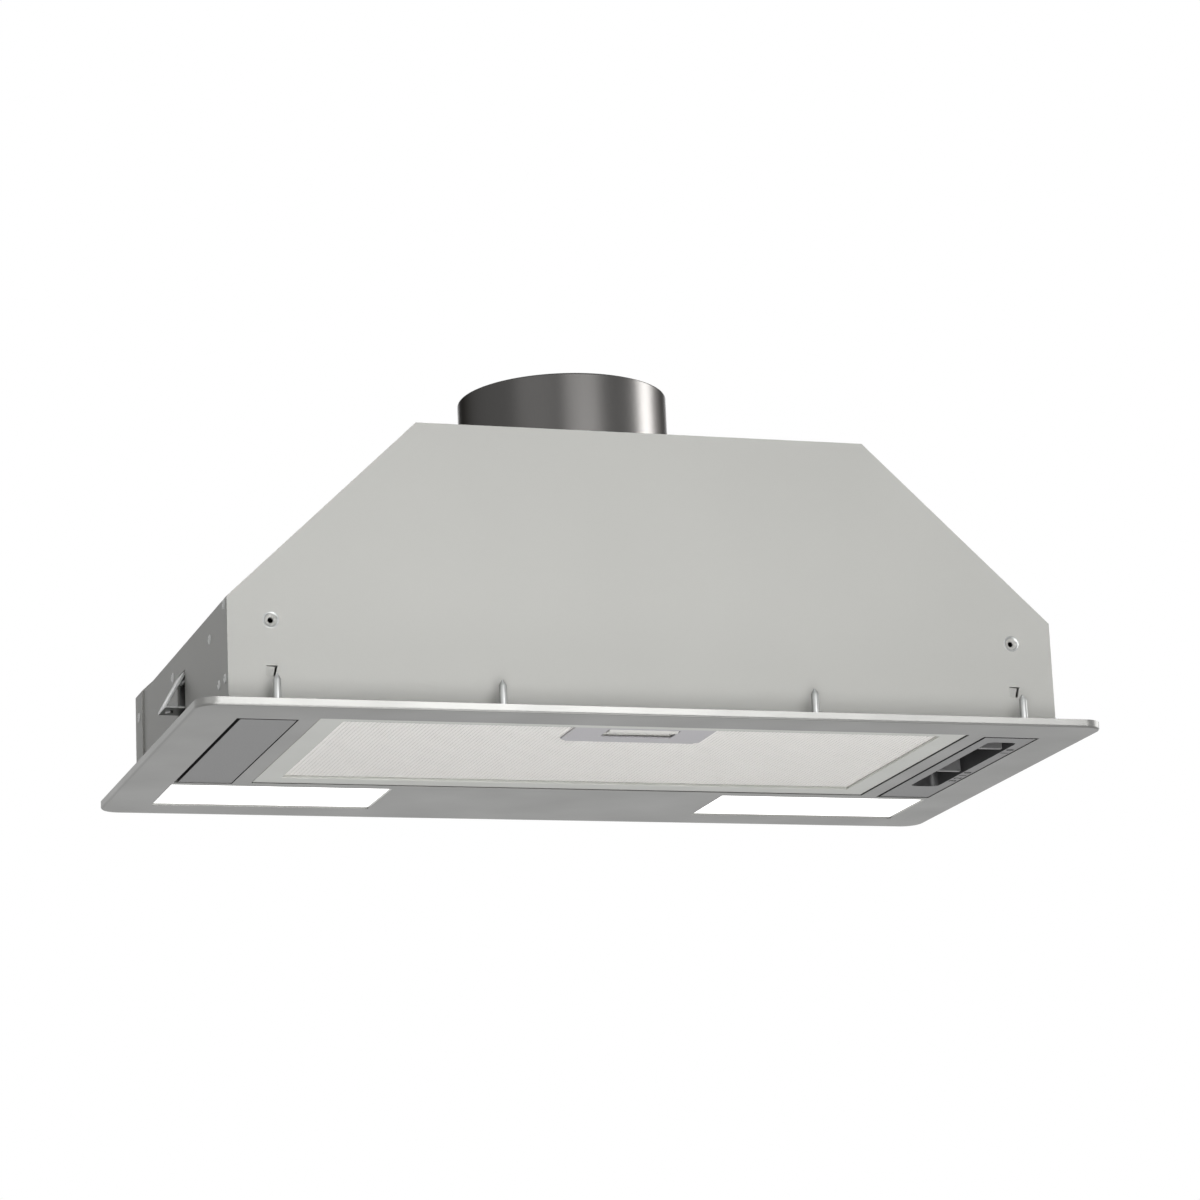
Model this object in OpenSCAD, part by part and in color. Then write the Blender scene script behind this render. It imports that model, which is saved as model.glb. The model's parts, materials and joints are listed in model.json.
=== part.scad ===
// Built-in canopy range hood: a face plate with a lit underside, a folded sheet canopy and a round duct collar.
// X runs along the face plate, Y from its near edge to its far edge, and Z up from its underside.

/* [Face plate] */
// Width of the face plate
plate_w = 520; // [510:1:540]
// Depth of the face plate, from its near edge to its far edge
plate_d = 290; // [286:1:300]
// Thickness of the face plate's sheet
plate_t = 1.2; // [0.8:0.1:1.4]
// Height of the turned-up rim, from the underside
rim_h = 4.6; // [4:0.1:8]
// Corner radius of the face plate
plate_corner_r = 12; // [8:1:16]
// Plain strip between the plate's side edges and the windows
side_margin = 27.5; // [26:0.5:29]
// Width of the two side windows, for the controls and the blank
side_win_w = 34; // [33:0.5:36]
// Strip between the side windows and the filter opening
side_strip_w = 10.5; // [9:0.5:12]
// Distance from the plate's near edge to the side windows
side_win_inset = 31; // [30:0.5:33]
// Strip between the side windows and the light windows
side_far_strip_d = 5; // [4:0.5:7]
// Height of the lip turned up around each side window
lip_h = 7; // [6:0.5:8]
// Width of the folded hem around the filter opening
hem_w = 4; // [3:0.1:4]
// Thickness that the hem adds on top of the sheet
hem_t = 1.5; // [1.2:0.1:1.6]

/* [Canopy] */
// Distance from the plate's side edges to the canopy's side walls
body_margin = 21; // [18:0.5:25]
// Distance from the plate's far edge to the rear panel
rear_inset = 19.2; // [18:0.1:22]
// Distance from the plate's near edge to the front panel
body_inset = 21.6; // [20:0.1:22]
// Height of the upright side walls, from the underside
wall_h = 65; // [62:1:75]
// Height of the canopy's top, from the underside
canopy_h = 167; // [165:1:180]
// Width of the canopy's flat top
top_w = 262; // [255:1:280]
// Thickness of the canopy's sheet
sheet_t = 1; // [0.8:0.1:1.2]
// Depth of the flange folded back from the front panel
front_flange_d = 14; // [12:1:18]
// Depth of the rear panel's flange over the side walls
rear_flange_d = 20; // [14:1:24]
// Width of the side panels' flanges under the top panel
top_flange_w = 16; // [12:1:20]
// Width of the outward feet that stand on the face plate
foot_w = 7; // [5:0.5:8]

/* [Duct collar and damper] */
// Outer diameter of the collar
collar_d = 124.4; // [120:0.1:126]
// Height of the collar above the top panel
collar_h = 62; // [50:1:80]
// Wall of the collar
collar_t = 1; // [0.8:0.1:1.5]
// Offset of the duct's axis behind the middle of the face plate
duct_y = 25; // [20:1:28]
// Width of the collar's base flange
collar_flange_w = 10; // [9:0.5:12]
// Height of the stop ledge that the flaps rest on, above the top panel
ledge_rise = 9; // [8:1:14]
// Width of the stop ledge
ledge_w = 4.2; // [3:0.1:6]
// Thickness of the damper flaps
flap_t = 0.8; // [0.6:0.1:1.2]
// Radius of the damper rod
rod_r = 1.5; // [1.2:0.1:1.8]
// Length of each hinge knuckle on the rod
knuckle_l = 10; // [8:1:12]

/* [Blower] */
// Radius of the impeller
impeller_r = 51; // [48:1:52]
// Inner radius of the impeller's blades
blade_in_r = 43.5; // [40:0.5:44]
// Number of blades around each half of the impeller
blade_count = 30; // [20:1:36]
// Thickness of a blade
blade_t = 1; // [0.8:0.1:1.4]
// Gap between the impeller's ends and the scroll's sides
impeller_gap = 12; // [10:0.5:20]
// Width of the scroll housing, over its side plates
scroll_w = 144; // [136:1:150]
// Radius of the scroll at its tongue
scroll_start_r = 56; // [55:0.5:58]
// Radius of the scroll at its outlet
scroll_end_r = 97; // [94:1:98]
// Radius of the inlet opening in each side plate
inlet_r = 42; // [40:0.5:43]
// Width of the rolled inlet rings
inlet_ring_w = 5; // [3:0.5:6]
// Gap between the scroll's crown and the top panel
crown_gap = 1.3; // [1:0.1:3]
// Width of the flange around the blower's outlet
outlet_flange_w = 8; // [6:0.5:10]

/* [Motor] */
// Radius of the motor can
motor_r = 27; // [24:0.5:30]
// Gap between the impeller's disc and the motor can
motor_gap = 15; // [14:0.5:25]
// Radius of the motor shaft
shaft_r = 4; // [3:0.1:5]
// Radius of the impeller's hub
hub_r = 9; // [7:0.5:12]
// Radius of the rubber mounts
mount_r = 5; // [4:0.1:5.5]
// Height of the rubber mounts
mount_h = 4; // [3:0.1:6]
// Thickness of the motor bracket
bracket_t = 2; // [1.5:0.1:3]
// Width of the bracket's arms
arm_w = 12; // [10:0.5:14]

/* [Grease filter] */
// Strip between the filter opening and the light windows
far_strip_d = 8; // [6.5:0.5:10]
// Distance from the plate's near edge to the filter opening
filter_inset = 27; // [27:0.1:28]
// Gap between the filter cassette and its opening
filter_gap = 0.8; // [0.6:0.1:1.2]
// Gap between the cassette's far edge and the opening, where it hinges
hinge_gap = 0.6; // [0.4:0.1:0.8]
// Recess of the filter's face above the plate's underside
filter_recess = 0.5; // [0.3:0.1:0.8]
// Height of the filter cassette
filter_h = 9; // [8:0.5:12]
// Width of the cassette frame's face
frame_face_w = 14; // [12:0.5:16]
// Width of the frame's face along its near edge
frame_near_w = 7; // [6:0.5:9]
// Thickness of the cassette frame's face, folded double
frame_face_t = 1.6; // [1.2:0.1:2]
// Wall of the cassette frame
frame_wall = 0.8; // [0.6:0.1:1.2]
// Thickness of the expanded metal nets
net_t = 0.6; // [0.4:0.1:0.8]
// Gaps across the face net
net_columns = 26; // [12:1:27]
// Gaps from near to far on the face net
net_rows = 11; // [5:1:11]
// Width of the tongues at the far edge
tongue_w = 30; // [20:1:40]
// Distance between the tongues' middles
tongue_span = 120; // [80:1:150]
// Reach of the tongues over the far edge of the opening
tongue_reach = 4.1; // [3:0.1:4.2]

/* [Filter latch] */
// Width of the latch plate
latch_w = 82; // [76:1:90]
// Depth of the latch plate
latch_d = 37; // [34:0.5:40]
// Thickness of the latch plate
latch_t = 1; // [0.8:0.1:1.2]
// Chamfer of the latch plate's far corners
latch_chamfer = 4; // [3:0.5:8]
// Width of the finger slot
slot_w = 41.5; // [38:0.5:44]
// Depth of the finger slot
slot_d = 18.8; // [16:0.1:20]
// Distance from the latch plate's near edge to the finger slot
slot_inset = 6; // [4:0.1:7]
// Depth of the finger bar
bar_d = 8; // [6:0.5:9]
// Radius of the finger bar's rounded face
bar_face_r = 7.3; // [6:0.1:12]
// Travel of the latch
latch_travel = 5; // [4:0.1:5.5]
// Thickness of the latch slider
slider_t = 1.5; // [1:0.1:2]
// Width of each latch nose
nose_w = 8; // [6:0.5:10]
// Reach of the noses past the cassette
nose_reach = 3.8; // [3:0.1:4]
// Radius of the latch springs' coils
spring_r = 1.1; // [0.9:0.1:1.2]
// Radius of the springs' wire
spring_wire_r = 0.3; // [0.2:0.05:0.35]
// Turns of each spring
spring_turns = 6; // [4:1:8]

/* [Lighting] */
// Width of each light window
led_win_w = 130.5; // [125:0.5:135]
// Depth of each light window
led_win_d = 59; // [56:0.5:60]
// Distance from the plate's far edge to the light windows
led_inset = 25; // [24:0.5:27]
// Overlap of the lens on the plate around its window
lens_overlap = 2; // [1.5:0.1:2.5]
// Thickness of the lens
lens_t = 2.5; // [2:0.1:3]
// Height of the lamp housing above the plate
lamp_h = 16; // [14:0.5:20]
// Wall of the lamp housing
lamp_wall = 1.2; // [0.8:0.1:1.5]
// Thickness of the light board
board_t = 1.6; // [1:0.1:2]
// Light chips along each board
chip_columns = 6; // [4:1:8]
// Edge of a light chip
chip_w = 3.5; // [2.8:0.1:5]

/* [Controls] */
// Shadow gap on the left of each side insert
insert_gap_x = 2.6; // [2:0.1:3]
// Shadow gap at the near end of each side insert
insert_gap_y = 4; // [3:0.1:5]
// Fitting gap on the other two sides of each insert
insert_fit = 0.4; // [0.3:0.1:0.6]
// Recess of the inserts above the plate's underside
insert_recess = 0.4; // [0.3:0.1:0.8]
// Wall of the inserts
insert_t = 1.8; // [1.5:0.1:2.2]
// Width of the slider trough
trough_w = 17.5; // [16:0.5:19]
// Distance from the control insert's near end to the trough
trough_inset = 11; // [9:0.5:13]
// Distance from the trough to the control insert's far end
trough_far_inset = 31.6; // [28:0.1:34]
// Height of the trough's ceiling above the plate's underside
trough_h = 11.5; // [10:0.5:13]
// Corner radius of the trough
trough_r = 4; // [3:0.5:6]
// Thickness of the slider fins
fin_t = 2.6; // [2:0.1:3.5]
// Gap between the fins and the trough's sides
fin_gap = 1.6; // [1:0.1:2]
// Recess of the fins' tips above the plate's underside
fin_recess = 1; // [0.6:0.1:2]
// Width of the slider stems
stem_w = 4.4; // [3.5:0.1:6]
// Height of the switches
switch_h = 14; // [12:0.5:15]
// Depth of the switches' carriages
carriage_d = 10; // [8:0.5:12]

/* [Side clips] */
// Width of the side clips
clip_w = 19; // [16:0.5:24]
// Offset of the clips before the middle of the plate
clip_offset = 1.5; // [0:0.1:4]
// Height of the clips' shelves, from the underside
clip_shelf_z = 28.5; // [27:0.5:30]
// Height of the clips' pivots, from the underside
clip_pivot_z = 47.5; // [46:0.5:49]
// Reach of the clips past the side walls
clip_reach = 11.5; // [10:0.1:12]
// Depth of the pockets that the clips swing into
clip_pocket_d = 16; // [14:0.5:18]
// Thickness of the clips' sheet
clip_t = 1.2; // [1:0.1:1.5]
// Radius of the clip pins
clip_pin_r = 1; // [0.8:0.1:1.2]
// Radius of the clips' knuckles
clip_knuckle_r = 2; // [1.8:0.1:2.4]

/* [Fasteners] */
// Radius of the locating pins
loc_pin_r = 2.2; // [1.8:0.1:2.5]
// Height of the locating pins' shoulders, from the underside
loc_shoulder_z = 17.5; // [16:0.5:20]
// Height of the locating pins' tips, from the underside
loc_tip_z = 20.5; // [19:0.5:24]
// Distance from the plate's side edges to the outer locating pins
loc_side_inset = 45; // [40:1:50]
// Distance between the inner locating pins
loc_inner_span = 180; // [160:1:200]
// Distance from the plate's near edge to the locating pins
loc_inset = 11; // [10:0.5:12]
// Radius of a rivet's shank
rivet_r = 1.6; // [1.2:0.1:2]
// Radius of a rivet's head
rivet_head_r = 2.8; // [2.6:0.1:3.5]
// Height of a rivet's head
rivet_head_h = 0.9; // [0.6:0.1:1.4]
// Radius of the conical dimples in the front panel
dimple_r = 4; // [3.5:0.1:5]
// Depth of the conical dimples
dimple_depth = 2.4; // [1.8:0.1:3]
// Radius of the screw hole in each dimple
dimple_hole_r = 1.6; // [1.2:0.1:2]
// Height of the dimples, from the underside
dimple_z = 52.5; // [50:0.5:56]
// Radius of the screws' shanks
screw_r = 1.5; // [1.2:0.1:2]
// Radius of the screws' heads
screw_head_r = 3; // [2.6:0.1:4]
// Height of the screws' heads
screw_head_h = 1.8; // [1.4:0.1:2.4]

/* [Electrical] */
// Width of the terminal box
terminal_w = 45; // [40:1:50]
// Depth of the terminal box
terminal_d = 60; // [50:1:64]
// Height of the terminal box
terminal_h = 26; // [22:1:30]
// Wall of the terminal box
terminal_t = 1.6; // [1.2:0.1:2]
// Distance from the edge of the canopy's flat top to the terminal box
terminal_side_gap = 6.5; // [4:0.5:10]
// Distance from the rear panel to the terminal box
terminal_rear_gap = 25.8; // [20:0.1:30]
// Radius of the cable gland's bore
gland_r = 4.2; // [3.5:0.1:5]
// Height of the cable gland above the top panel
gland_h = 16; // [12:0.5:20]
// Radius of the capacitor
capacitor_r = 14; // [12:0.5:16]
// Length of the capacitor
capacitor_l = 48; // [40:1:55]
// Depth of the light driver, out from the side wall
driver_x = 22; // [18:1:26]
// Length of the light driver
driver_y = 55; // [48:1:60]
// Height of the light driver
driver_h = 42; // [38:1:44]
// Radius of the leads' insulation
lead_r = 1.6; // [1.2:0.1:2]

/* [Clearances] */
// Running fit of a bore on its shaft or pin, on the radius
run_gap = 0.06; // [0.04:0.01:0.1]
// Gap between neighbours that move past each other
move_gap = 0.3; // [0.25:0.05:0.4]

/* [Hidden] */
$fn = 64;

// Overrun of every cut past the face it opens
cut = 1;
sides = [-1, 1];

// Face plate places
near_y = -plate_d / 2;
far_y = plate_d / 2;
win_edge_x = plate_w / 2 - side_margin;
control_x = [win_edge_x - side_win_w, win_edge_x];
led_x = [win_edge_x - led_win_w, win_edge_x];
led_y = [far_y - led_inset - led_win_d, far_y - led_inset];
side_win_y = [near_y + side_win_inset, led_y[0] - side_far_strip_d];
opening_x = [side_strip_w - control_x[0], control_x[0] - side_strip_w];
opening_y = [near_y + filter_inset, led_y[0] - far_strip_d];
loc_outer_span = plate_w - 2 * loc_side_inset;
hem_top = plate_t + hem_t;

// Canopy places
body_x = [body_margin - plate_w / 2, plate_w / 2 - body_margin];
body_y = [near_y + body_inset, far_y - rear_inset];
inner_y = [body_y[0] + sheet_t, body_y[1] - sheet_t];
ceiling_z = canopy_h - sheet_t;
slope_angle = atan2(canopy_h - wall_h, body_x[1] - top_w / 2);
// Tabs lanced in from the front panel
lance_w = 6.3;
lance_h = 6;
lance_z = 27.3;
lance_taper = 1.5;
lance_drop = 1.8;
lance_slit = 1;
lance_top_slit = 0.4;
// Places of the feet's studs along each half of the canopy
foot_stud_shares = [-0.75, -0.3, 0.3, 0.75];

// Collar and damper places
collar_r = collar_d / 2;
duct_r = collar_r - collar_t;
ledge_z = canopy_h + ledge_rise;
rod_z = ledge_z + move_gap + flap_t / 2;
flap_r = duct_r - 2 * move_gap;
knuckle_r = rod_r + 2 * flap_t - run_gap;
flap_edge = knuckle_r + 2 * move_gap;
knuckle_shares = [-0.75, 0.2];

// Blower places
tongue_angle = 55;
outlet_angle = 360;
scroll_t = sheet_t;
scroll_steps = 44;
throat_near = scroll_start_r * cos(tongue_angle);
blower_y = duct_y - (throat_near + scroll_end_r) / 2;
throat_y = [blower_y + throat_near, blower_y + scroll_end_r];
blower_z = ceiling_z - crown_gap - scroll_t - scroll_radius(90);
scroll_x = [-scroll_w / 2, scroll_w / 2];
blade_sweep = 9;
blade_steps = 4;
rim_ring_w = 3;
disc_t = 2;
impeller_w = scroll_w - 2 * impeller_gap;
motor_x = [disc_t / 2 + motor_gap, scroll_x[1] + mount_h];
motor_l = motor_x[1] - motor_x[0];
arm_reach = inlet_r + inlet_ring_w + mount_r + move_gap;
hub_l = 20;

// Filter places
cassette_x = [opening_x[0] + filter_gap, opening_x[1] - filter_gap];
cassette_y = [opening_y[0] + filter_gap, opening_y[1] - hinge_gap];
cassette_z = [filter_recess, filter_recess + filter_h];
net_z = filter_recess + frame_face_t;
pad_x = [cassette_x[0] + frame_wall + move_gap, cassette_x[1] - frame_wall - move_gap];
pad_y = [cassette_y[0] + frame_wall + move_gap, cassette_y[1] - frame_wall - move_gap];
pad_z = [net_z + net_t, cassette_z[1] - frame_wall - net_t];
tongue_z = [hem_top + move_gap, hem_top + move_gap + frame_wall];
net_web = 2.6;

// Latch places
latch_y = [cassette_y[0] + frame_near_w, cassette_y[0] + frame_near_w + latch_d];
slot_y = [latch_y[0] + slot_inset, latch_y[0] + slot_inset + slot_d];
slider_z = [pad_z[0] + move_gap / 2, pad_z[0] + move_gap / 2 + slider_t];
slider_w = latch_w - 2 * latch_chamfer;
slider_y = [cassette_y[0] + frame_near_w, latch_y[1]];
tray_x = [-slider_w / 2 - move_gap - frame_wall, slider_w / 2 + move_gap + frame_wall];
tray_y = [pad_y[0], latch_y[1] + frame_face_w];
nose_x = slider_w / 2 - nose_w;
spring_x = slider_w / 3;
spring_z = (slider_z[1] + pad_z[1] - frame_wall) / 2;
spring_rings = 8;
spring_sides = 6;

// Lamp places
lamp_x = [led_x[0] - lens_overlap - lamp_wall - move_gap, led_x[1] + lens_overlap + lamp_wall + move_gap];
lamp_y = [led_y[0] - lens_overlap - lamp_wall - move_gap, led_y[1] + lens_overlap + lamp_wall + move_gap];
lamp_z = [plate_t, plate_t + lamp_h];
board_z = lamp_z[1] - lamp_wall - board_t;
board_rim = 8;
chip_rows = 2;
chip_h = 1.2;

// Control places
insert_y = [side_win_y[0] + insert_gap_y, side_win_y[1] - insert_fit];
blank_x = [-control_x[1] + insert_gap_x, -control_x[0] - insert_fit];
bezel_x = [control_x[0] + insert_gap_x, control_x[1] - insert_fit];
flange_w = plate_t;
trough_x = [bezel_x[0] + (bezel_x[1] - bezel_x[0] - trough_w) / 2, bezel_x[0] + (bezel_x[1] - bezel_x[0] + trough_w) / 2];
trough_y = [insert_y[0] + trough_inset, insert_y[1] - trough_far_inset];
trough_l = trough_y[1] - trough_y[0];
trough_mid = (trough_x[0] + trough_x[1]) / 2;
// Places and travels of the two sliders along the trough
slider_shares = [0.1585, 0.6699];
travel_shares = [0.0569, 0.1902];
light_y = trough_y[0] + trough_l * slider_shares[0];
speed_y = trough_y[0] + trough_l * slider_shares[1];
light_travel = trough_l * travel_shares[0];
speed_travel = trough_l * travel_shares[1];
trough_top = trough_h + insert_t;
carriage_h = 3;

// Clip places
clip_y = [-clip_offset - clip_w / 2, -clip_offset + clip_w / 2];
clip_pivot_x = body_x[1] - sheet_t - clip_pin_r - move_gap * 2;
clip_tip_x = body_x[1] + clip_reach;
clip_win_z = [clip_shelf_z - 5 * clip_t, clip_pivot_z + clip_knuckle_r + clip_t];
clip_ear_t = 1.5;
clip_strip_h = 6;
clip_screw_r = 1.2;
clip_screw_head_r = 2.2;
clip_screw_x = clip_tip_x - clip_screw_head_r * 2;

// Electrical places
terminal_x = top_w / 2 - terminal_side_gap - terminal_w / 2;
terminal_range_x = [terminal_x - terminal_w / 2, terminal_x + terminal_w / 2];
terminal_y = [inner_y[1] - terminal_rear_gap - terminal_d, inner_y[1] - terminal_rear_gap];
terminal_mid_y = (terminal_y[0] + terminal_y[1]) / 2;
terminal_z = [ceiling_z - sheet_t - terminal_h, ceiling_z - sheet_t];
gland_nut_r = gland_r * 2;
gland_flat_h = 5;
driver_gap = 16;
driver_range_y = [inner_y[0] + driver_gap, inner_y[0] + driver_gap + driver_y];
driver_z = [clip_win_z[0] - clip_strip_h, clip_win_z[0] - clip_strip_h + driver_h];
capacitor_axis = [scroll_x[1] + capacitor_r + bracket_t, blower_z - inlet_r - capacitor_r * 2];
capacitor_y = [blower_y + hub_r, blower_y + hub_r + capacitor_l];
terminal_poles = 5;
// Leads: sides of their section, steps along them and how far they run on from each end before bending away
lead_sides = 8;
lead_steps = 8;
lead_stub = 2 * lead_r;
lead_pull = 12 * lead_r;
lead_share = 0.6;
lead_z = (terminal_z[0] + terminal_z[1]) / 2;
clamp_w = 12;
clamp_t = 1.2;

// Rivets by side, distance from near to far and height
front_rivet_z = 62;
driver_rivet_z = 51.5;
low_rivet_z = 21;
bracket_rivet_share = 0.7;
wall_rivets = [
    for (s = sides, z = [low_rivet_z, front_rivet_z]) [s, body_y[0] + front_flange_d / 2, z],
    for (s = sides) [s, clip_y[1] + clip_w * bracket_rivet_share, clip_pivot_z + clip_strip_h],
    [-1, driver_range_y[0] + rivet_head_r * 2, low_rivet_z],
    [-1, driver_range_y[0] + driver_y / 2, driver_rivet_z]
];
flange_rivets = [
    for (s = sides, z = [low_rivet_z, driver_rivet_z]) [s, body_y[1] - rear_flange_d / 2, z]
];

// Radius of the scroll's wall at an angle around the blower's axis
function scroll_radius(a) =
    scroll_start_r + (scroll_end_r - scroll_start_r) * (a - tongue_angle) / (outlet_angle - tongue_angle);
// A range widened, or with a negative amount narrowed, at both ends
function grown(range, by) = [range[0] - by, range[1] + by];
// A range along X on the other side of the middle
function flipped(range) = [-range[1], -range[0]];
// The range for the right side (1) or the left side (-1)
function sided(range, s) = s > 0 ? range : flipped(range);
// The canopy's outline on the right, from the plate to the top, drawn in by a depth
function canopy_edge(inset) = [
    [body_x[1] - inset, plate_t],
    [body_x[1] - inset, wall_h - inset * tan((90 - slope_angle) / 2)],
    [top_w / 2 - inset * tan(slope_angle / 2), canopy_h - inset]
];
// Both halves of that outline as one closed list
function canopy_points(inset) = let (e = canopy_edge(inset))
    [e[0], e[1], e[2], [-e[2][0], e[2][1]], [-e[1][0], e[1][1]], [-e[0][0], e[0][1]]];

module block(x, y, z) {
    translate([x[0], y[0], z[0]]) cube([x[1] - x[0], y[1] - y[0], z[1] - z[0]]);
}

module frame_box(x, y, z, wall) {
    difference() {
        block(x, y, z);
        block(grown(x, -wall), grown(y, -wall), grown(z, cut));
    }
}

// A rectangle with true round corners
module round_rect(x, y, r) {
    translate([x[0] + r, y[0]]) square([x[1] - x[0] - 2 * r, y[1] - y[0]]);
    translate([x[0], y[0] + r]) square([x[1] - x[0], y[1] - y[0] - 2 * r]);
    for (cx = [x[0] + r, x[1] - r], cy = [y[0] + r, y[1] - r])
        translate([cx, cy]) circle(r);
}

// A flat shape drawn in X and Z, thickened along Y
module along_y(y) {
    translate([0, y[1], 0]) rotate([90, 0, 0]) linear_extrude(y[1] - y[0]) children();
}

// A flat shape drawn in Y and Z, thickened along X
module along_x(x) {
    translate([x[0], 0, 0]) rotate([90, 0, 90]) linear_extrude(x[1] - x[0]) children();
}

// A round bar along X through a point of the YZ plane
module bar_x(x, y, z, r) {
    translate([x[0], y, z]) rotate([0, 90, 0]) cylinder(r = r, h = x[1] - x[0]);
}

// A round bar along Y through a point of the XZ plane
module bar_y(x, y, z, r) {
    translate([x, y[1], z]) rotate([90, 0, 0]) cylinder(r = r, h = y[1] - y[0]);
}

// A tube of round section swept along a list of points
function ring_at(p, t, r, n) =
    let (u = cross(t, [0, 0, 1]), a = norm(u) > 0 ? u / norm(u) : [1, 0, 0], b = cross(a, t / norm(t)))
    [for (i = [0:n - 1]) p + r * cos(360 * i / n) * a + r * sin(360 * i / n) * b];

module tube(path, r, n) {
    last = len(path) - 1;
    rings = [for (k = [0:last])
        each ring_at(path[k], path[min(k + 1, last)] - path[max(k - 1, 0)], r, n)];
    walls = [for (k = [0:last - 1], i = [0:n - 1])
        let (a = k * n + i, b = k * n + (i + 1) % n)
        each [[a, b, b + n], [a, b + n, a + n]]];
    near_cap = [for (i = [1:n - 2]) [0, i + 1, i]];
    far_cap = [for (i = [1:n - 2]) [last * n, last * n + i, last * n + i + 1]];
    polyhedron(rings, concat(walls, near_cap, far_cap));
}

module plate_outline(inset) {
    round_rect([-plate_w / 2 + inset, plate_w / 2 - inset], [near_y + inset, far_y - inset], plate_corner_r - inset);
}

module face_plate() {
    color("silver") difference() {
        union() {
            linear_extrude(plate_t) plate_outline(0);
            linear_extrude(rim_h) difference() {
                plate_outline(0);
                plate_outline(plate_t);
            }
            block(grown(opening_x, hem_w), grown(opening_y, hem_w), [0, hem_top]);
            for (s = sides)
                block(sided(grown(control_x, plate_t), s), grown(side_win_y, plate_t), [0, lip_h]);
        }
        block(opening_x, opening_y, [-cut, hem_top + cut]);
        for (s = sides) {
            block(sided(control_x, s), side_win_y, [-cut, lip_h + cut]);
            block(sided(led_x, s), led_y, [-cut, plate_t + cut]);
        }
    }
}

// One conical dimple, pressed inward from the panel's outer face, with a plain screw hole
module dimple() {
    rotate_extrude() polygon([
        [dimple_hole_r, dimple_depth - sheet_t], [dimple_r, 0], [dimple_r + sheet_t, 0],
        [dimple_r + sheet_t, sheet_t], [dimple_hole_r + sheet_t, dimple_depth + sheet_t],
        [dimple_hole_r, dimple_depth + sheet_t]
    ]);
}

module dimple_place(s) {
    translate([s * loc_outer_span / 2, body_y[0], dimple_z]) rotate([-90, 0, 0]) children();
}

// A tab's outline seen from the front, with slits left open at its top and right
module lance_outline(top_slit, slit) {
    polygon([
        [-lance_w / 2, lance_z - lance_h], [lance_w / 2 - lance_taper - slit, lance_z - lance_h],
        [lance_w / 2 - slit, lance_z - top_slit], [-lance_w / 2, lance_z - top_slit]
    ]);
}

// A tab that stays on the panel at its left edge and leans in towards its right edge
module lance_tab() {
    x = [-lance_w / 2, lance_w / 2];
    intersection() {
        along_y(grown([body_y[0], inner_y[0] + lance_drop], cut)) union() {
            lance_outline(lance_top_slit, lance_slit);
            translate([x[0] - sheet_t, lance_z - lance_h]) square([2 * sheet_t, lance_h - lance_top_slit]);
        }
        translate([0, 0, lance_z - lance_h]) linear_extrude(lance_h) polygon([
            [x[0] - sheet_t, body_y[0]], [x[0], body_y[0]], [x[1], body_y[0] + lance_drop],
            [x[1], inner_y[0] + lance_drop], [x[0], inner_y[0]], [x[0] - sheet_t, inner_y[0]]
        ]);
    }
}

module front_panel() {
    color("gainsboro") {
        difference() {
            union() {
                along_y([body_y[0], inner_y[0]]) polygon(canopy_points(0));
                along_y([body_y[0], body_y[0] + front_flange_d]) difference() {
                    polygon(canopy_points(sheet_t));
                    polygon(canopy_points(2 * sheet_t));
                }
                block(grown(body_x, -foot_w), [body_y[0] - foot_w, body_y[0]], [plate_t, plate_t + sheet_t]);
            }
            for (s = sides) {
                dimple_place(s) translate([0, 0, -cut]) cylinder(r = dimple_r + sheet_t / 2, h = sheet_t + 2 * cut);
                along_y(grown([body_y[0], inner_y[0]], cut)) translate([s * loc_outer_span / 2, 0]) lance_outline(0, 0);
            }
            panel_rivet_holes();
            foot_stud_holes();
        }
        for (s = sides) {
            dimple_place(s) dimple();
            translate([s * loc_outer_span / 2, 0, 0]) lance_tab();
        }
    }
}

module rear_panel() {
    color("gainsboro") difference() {
        union() {
            along_y([inner_y[1], body_y[1]]) polygon(canopy_points(-sheet_t));
            along_y([body_y[1] - rear_flange_d, body_y[1]]) difference() {
                polygon(canopy_points(-sheet_t));
                polygon(canopy_points(0));
            }
            block(grown(body_x, -foot_w), [body_y[1], body_y[1] + foot_w], [plate_t, plate_t + sheet_t]);
        }
        panel_rivet_holes();
        foot_stud_holes();
    }
}

module top_panel() {
    top = canopy_edge(0)[2];
    under = canopy_edge(sheet_t)[2];
    color("gainsboro") difference() {
        along_y(inner_y) polygon([top, under, [-under[0], under[1]], [-top[0], top[1]]]);
        translate([0, duct_y, ceiling_z - cut]) cylinder(r = duct_r - ledge_w, h = sheet_t + 2 * cut);
        translate([terminal_x, terminal_mid_y, ceiling_z - cut])
            cylinder(r = gland_r + terminal_t, h = sheet_t + 2 * cut);
        collar_screw_places(screw_r + run_gap);
        blower_screw_places(screw_r + run_gap);
    }
}

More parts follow.
